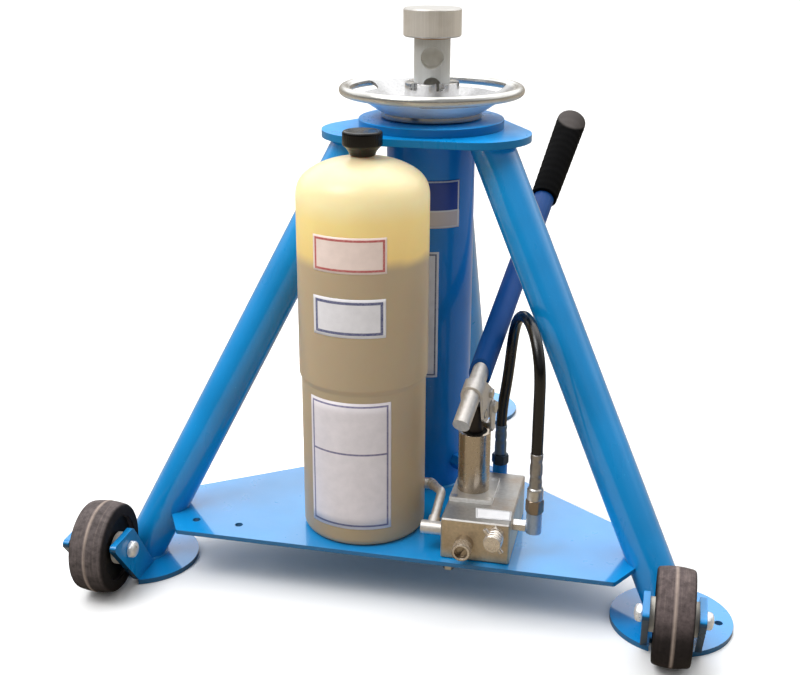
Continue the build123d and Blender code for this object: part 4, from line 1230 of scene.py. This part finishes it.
@dataclass(frozen=True)
class Wrap:
    """A decal on an upright cylinder: azimuths of its ends, heights of its edges, and the cylinder."""

    name: str
    label: Label
    turn: Pair
    height: Pair
    axis: Pair = Tank.axis
    radius: float = Tank.wide_r


@dataclass
class Decals:
    """Blank bordered decals on the tank, the column and the pump block."""

    lift: float = 0.0003
    wraps: tuple[Wrap, ...] = (
        Wrap("label_red", Label("label_red_paper", (252, 230, 220), (190, 70, 70), inset=0.0034, line=0.0024),
             (-121.1, -55.3), (0.3795, 0.4180)),
        Wrap("label_blue",
             Label("label_blue_paper", (240, 238, 242), (58, 68, 122), inset=0.0046, line=0.0030),
             (-122.0, -56.2), (0.3100, 0.3525)),
        Wrap("label_long",
             Label("label_long_paper", (234, 227, 231), (98, 92, 134), inset=0.0042, line=0.0021,
                   rules=(0.6,)),
             (-131.0, -50.6), (0.0850, 0.2355), radius=Tank.low_r),
        Wrap("label_badge",
             Label("label_badge_film", (34, 64, 150), (214, 216, 222), inset=0.0016, line=0.0018,
                   rules=(0.36,), band=(196, 188, 190), band_top=0.36),
             (-118.0, -38.5), (0.3910, 0.4460), (0.0, 0.0), COLUMN_R),
        Wrap("label_strip",
             Label("label_strip_film", (226, 228, 236), (66, 76, 110), inset=0.0034, line=0.0018),
             (-140.0, -66.5), (0.2100, 0.3635), (0.0, 0.0), COLUMN_R),
    )
    tag_label: Label = Label("tag_film", (238, 238, 240), (168, 168, 172), size=(0.040, 0.022), inset=0.0016,
                             line=0.0008)
    tag_back: tuple[Pair, Pair] = ((0.091, -0.176), (0.131, -0.176))
    tag_front: tuple[Pair, Pair] = ((0.095, -0.199), (0.133, -0.197))
    block_top: float = 0.111

    def build(self) -> None:
        """Build every decal."""
        for wrap in self.wraps:
            self.round(wrap)
        self.tag()

    def round(self, wrap: Wrap) -> None:
        """Lay a decal on an upright cylinder, as angle and height on an even grid.

        Args:
            wrap: Decal, whose label gets its size here.
        """
        turn, height = np.radians(np.linspace(*wrap.turn, 48)), np.linspace(*wrap.height, 12)
        angle, rise = np.meshgrid(turn, height, indexing="ij")
        out = wrap.radius + self.lift
        x, y = wrap.axis[0] + out * np.cos(angle), wrap.axis[1] + out * np.sin(angle)
        uv = np.stack([(angle - turn[0]) * wrap.radius, rise - height[0]], axis=-1)
        label = replace(wrap.label, size=tuple(uv[-1, -1].tolist()))
        shape = Shape().grid(np.stack([x, y, rise], axis=-1), loop_columns=False, uv=uv)
        shape.build(wrap.name, [label], Body.FRAME, Slot.DECAL, sheet=True)

    def tag(self) -> None:
        """Lay the bare tag flat on the block, as an even grid between its four corners."""
        steps = np.meshgrid(np.linspace(0.0, 1.0, 12), np.linspace(0.0, 1.0, 8), indexing="ij")
        uv = np.stack(steps, axis=-1)
        u, v = uv[..., :1], uv[..., 1:]
        edges = np.array([self.tag_back, self.tag_front])
        back, front = ((1 - u) * left + u * right for left, right in edges)
        points = np.insert((1 - v) * back + v * front, 2, self.block_top + self.lift, axis=-1)
        shape = Shape().grid(points, loop_columns=False, uv=uv * self.tag_label.size)
        shape.build("block_tag", [self.tag_label], Body.FRAME, Slot.DECAL, sheet=True)


@dataclass
class Welds:
    """Painted weld beads of the frame."""

    azimuths: tuple[float, ...] = (-30.0, 210.0, 90.0)
    foot_out: float = 0.3575
    top_out: float = 0.0875
    foot_z: float = 0.006
    top_z: float = 0.491
    plate_z: float = 0.063
    leg_r: float = 0.02415
    column_gap: float = 0.0006
    bead: float = 0.0024
    ripple: float = 0.0030
    ripple_share: float = 0.10

    def build(self) -> None:
        """Build all beads as one piece."""
        shape = Shape()
        for azimuth in self.azimuths:
            self.leg_ring(shape, azimuth, self.foot_z)
            self.leg_ring(shape, azimuth, self.top_z)
        angle = around(480)
        ring = np.stack([np.cos(angle), np.sin(angle)], axis=1) * (COLUMN_R + self.column_gap)
        self.ring(shape, np.insert(ring, 2, self.plate_z, axis=1))
        shape.build("weld_beads", [Palette.BLUE], Body.FRAME, Slot.PAINT, sharp=60.0)

    def leg_ring(self, shape: Shape, azimuth: float, height: float) -> None:
        """Add the bead where a leaning leg meets a level face: an ellipse stretched along the lean.

        Args:
            shape: Shape to add to.
            azimuth: Direction of the leg, in degrees.
            height: Height of the face.
        """
        turn = math.radians(azimuth)
        out = np.array([math.cos(turn), math.sin(turn), 0.0])
        side = np.array([-math.sin(turn), math.cos(turn), 0.0])
        lean = (self.foot_out - self.top_out) / (self.top_z - self.foot_z)
        centre = out * (self.foot_out - lean * (height - self.foot_z)) + np.array([0.0, 0.0, height])
        angle = around(320)[:, None]
        stretch = math.hypot(1.0, lean)
        self.ring(shape, centre + self.leg_r * (np.cos(angle) * stretch * out + np.sin(angle) * side))

    def ring(self, shape: Shape, path: Array) -> None:
        """Add a closed bead: a circle carried along the path, whose radius rises and falls by the ripple.

        Args:
            shape: Shape to add to.
            path: Points by three coordinates.
        """
        step = np.linalg.norm(np.diff(path, axis=0, append=path[:1]), axis=1)
        count = round(float(step.sum()) / self.ripple)
        share = np.cumsum(step) / step.sum()
        radius = self.bead * (1.0 + self.ripple_share * np.abs(np.sin(math.pi * count * share)))
        ahead = np.roll(path, -1, axis=0) - np.roll(path, 1, axis=0)
        ahead = ahead / np.linalg.norm(ahead, axis=1, keepdims=True)
        across = np.cross(ahead, UP)
        across = across / np.linalg.norm(across, axis=1, keepdims=True)
        above = np.cross(across, ahead)
        angle = around(14)[:, None]
        circle = np.cos(angle) * across[:, None] + np.sin(angle) * above[:, None]
        shape.grid(path[:, None] + radius[:, None, None] * circle, loop_rows=True)


@dataclass
class PumpTrim:
    """Sleeves of the two valves in the front of the pump block.

    The plug is a profile: radius, distance from the block and rounding of each corner.
    """

    plug_at: Point = (0.0845, -0.208, 0.084)
    plug: Points = ((0.0096, 0.0003, 0.0), (0.0097, 0.0003, 0.0003), (0.0097, 0.0085, 0.0002),
                    (0.0103, 0.0090, 0.0003), (0.0103, 0.0208, 0.0004), (0.0093, 0.0222, 0.0006),
                    (0.0072, 0.0222, 0.0004), (0.0072, 0.0202, 0.0))
    knurled_r: float = 0.0100
    knurls: int = 40
    knurl: float = 0.045
    knob_at: Point = (0.118, -0.208, 0.099)
    knob_r: float = 0.0091
    knob_bore: float = 0.0055
    knob_from: float = 0.0072
    knob_l: float = 0.0172
    knob_side: float = 0.86
    knob_back: float = 0.9
    rib: float = 0.0011
    ribs: float = 3.0
    rib_power: float = 0.6
    dome_power: float = 0.5

    def build(self) -> None:
        """Build both sleeves."""
        self.plug_sleeve()
        self.knob_sleeve()

    def plug_sleeve(self) -> None:
        """Build the relief plug's sleeve: a turned ring, drawn in where wide by a cosine of the turn."""
        profile = rounded(self.plug)
        turns = 8 * self.knurls
        wide = profile[:, :1] > self.knurled_r
        swell = -self.knurl * wide * (0.5 + 0.5 * np.cos(around(turns) * self.knurls))
        shape = Shape().grid(turned(self.plug_at, FRONT, profile, turns, swell), loop_rows=True)
        shape.build("plug_knurl", [Palette.KNOB], Body.FRAME, Slot.ZINC)

    def knob_sleeve(self) -> None:
        """Build the release knob's skin: a turned profile with three round ribs and a domed end."""
        along = np.linspace(0.0, 1.0, 70)
        rib = self.rib * np.abs(np.sin(along * math.pi * self.ribs)) ** self.rib_power
        straight = self.knob_l * self.knob_side
        side = np.stack([self.knob_r + rib, self.knob_from + straight * along], axis=1)
        dome = domed(self.knob_r, self.knob_from + straight, self.knob_l - straight, self.dome_power)
        back = self.knob_from + self.knob_back * self.knob_l
        foot, inside = [(self.knob_bore, self.knob_from)], [(0.0, back), (self.knob_bore, back)]
        profile = np.concatenate([foot, side, dome, inside])
        shape = Shape().grid(turned(self.knob_at, FRONT, profile, turns=72), loop_rows=True)
        shape.build("ribbed_knob", [Palette.KNOB], Body.RELEASE, Slot.DARK)


@dataclass
class Dress:
    """Finishes of the CAD nodes, each with the names of its nodes."""

    finishes: tuple[tuple[Finish, str], ...] = (
        (Palette.BLUE, "leg_right leg_left leg_back"),
        (Palette.PLATE, "foot_disc_right foot_disc_left foot_disc_back base_plate"),
        (Palette.LUG, "wheel_lugs_right wheel_lugs_left"),
        (Palette.TOP, "top_plate head_flange"),
        (Palette.COLUMN_SHADED, "cylinder_tube cylinder_pipe"),
        (Palette.HANDLE, "handle_tube"),
        (Palette.HUB, "wheel_hub_right wheel_hub_left"),
        (Palette.SPACER, "hub_spacers"),
        (Palette.ZINC, "axle_bolts block_bolts flange_screws plunger_pin fulcrum_bolt clevis_bolt"),
        (Palette.ZINC, "check_cartridges piston"),
        (Palette.MATTE, "fulcrum_bracket lever_rod lever_strap suction_tee suction_tube outlet_fitting"),
        (Palette.BRIGHT, "pump_adapter"),
        (Palette.DARK, "cylinder_base plunger swivel_nuts"),
        (Palette.BLOCK, "pump_block"),
        (Palette.BARREL, "pump_barrel"),
        (Palette.FLANGE, "barrel_flange"),
        (Palette.PLUG, "relief_plug"),
        (Palette.KNOB, "release_valve release_gland"),
        (Palette.ELBOW, "pump_elbow"),
        (Palette.FERRULE_BLUE, "hose_ferrules"),
        (Palette.HOSE, "pressure_hose"),
        (Palette.SEAL, "handle_grip wheel_tyre_right wheel_tyre_left plunger_wiper piston_seal rod_wiper"),
        (Palette.TANK, "reservoir"),
        (Palette.CAP, "filler_cap"),
        (Palette.FLUID, "hydraulic_fluid"),
        (Palette.RAM, "ram"),
        (Palette.BRONZE, "gland_bush thrust_washer"),
        (Palette.CHROME, "lock_nut handwheel"),
        (Palette.SCREW, "extension_screw"),
        (Palette.NICKEL, "load_head"),
    )

    def build(self) -> None:
        """Give every node its finish."""
        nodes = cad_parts
        for finish, names in self.finishes:
            for name in names.split():
                nodes[name].data.materials.clear()
                nodes[name].data.materials.append(finish.material())
        LOG.info("%d nodes dressed", len(nodes))


def main() -> None:
    """Build the studio and the jack in order."""
    logging.basicConfig(level=logging.INFO, format="%(name)s %(message)s")
    Studio().build()
    for part in (PressureLine(), Wheels(), Handle(), Tank(), Decals(), Welds(), PumpTrim(), Dress()):
        part.build()


if __name__ == "__main__":
    main()
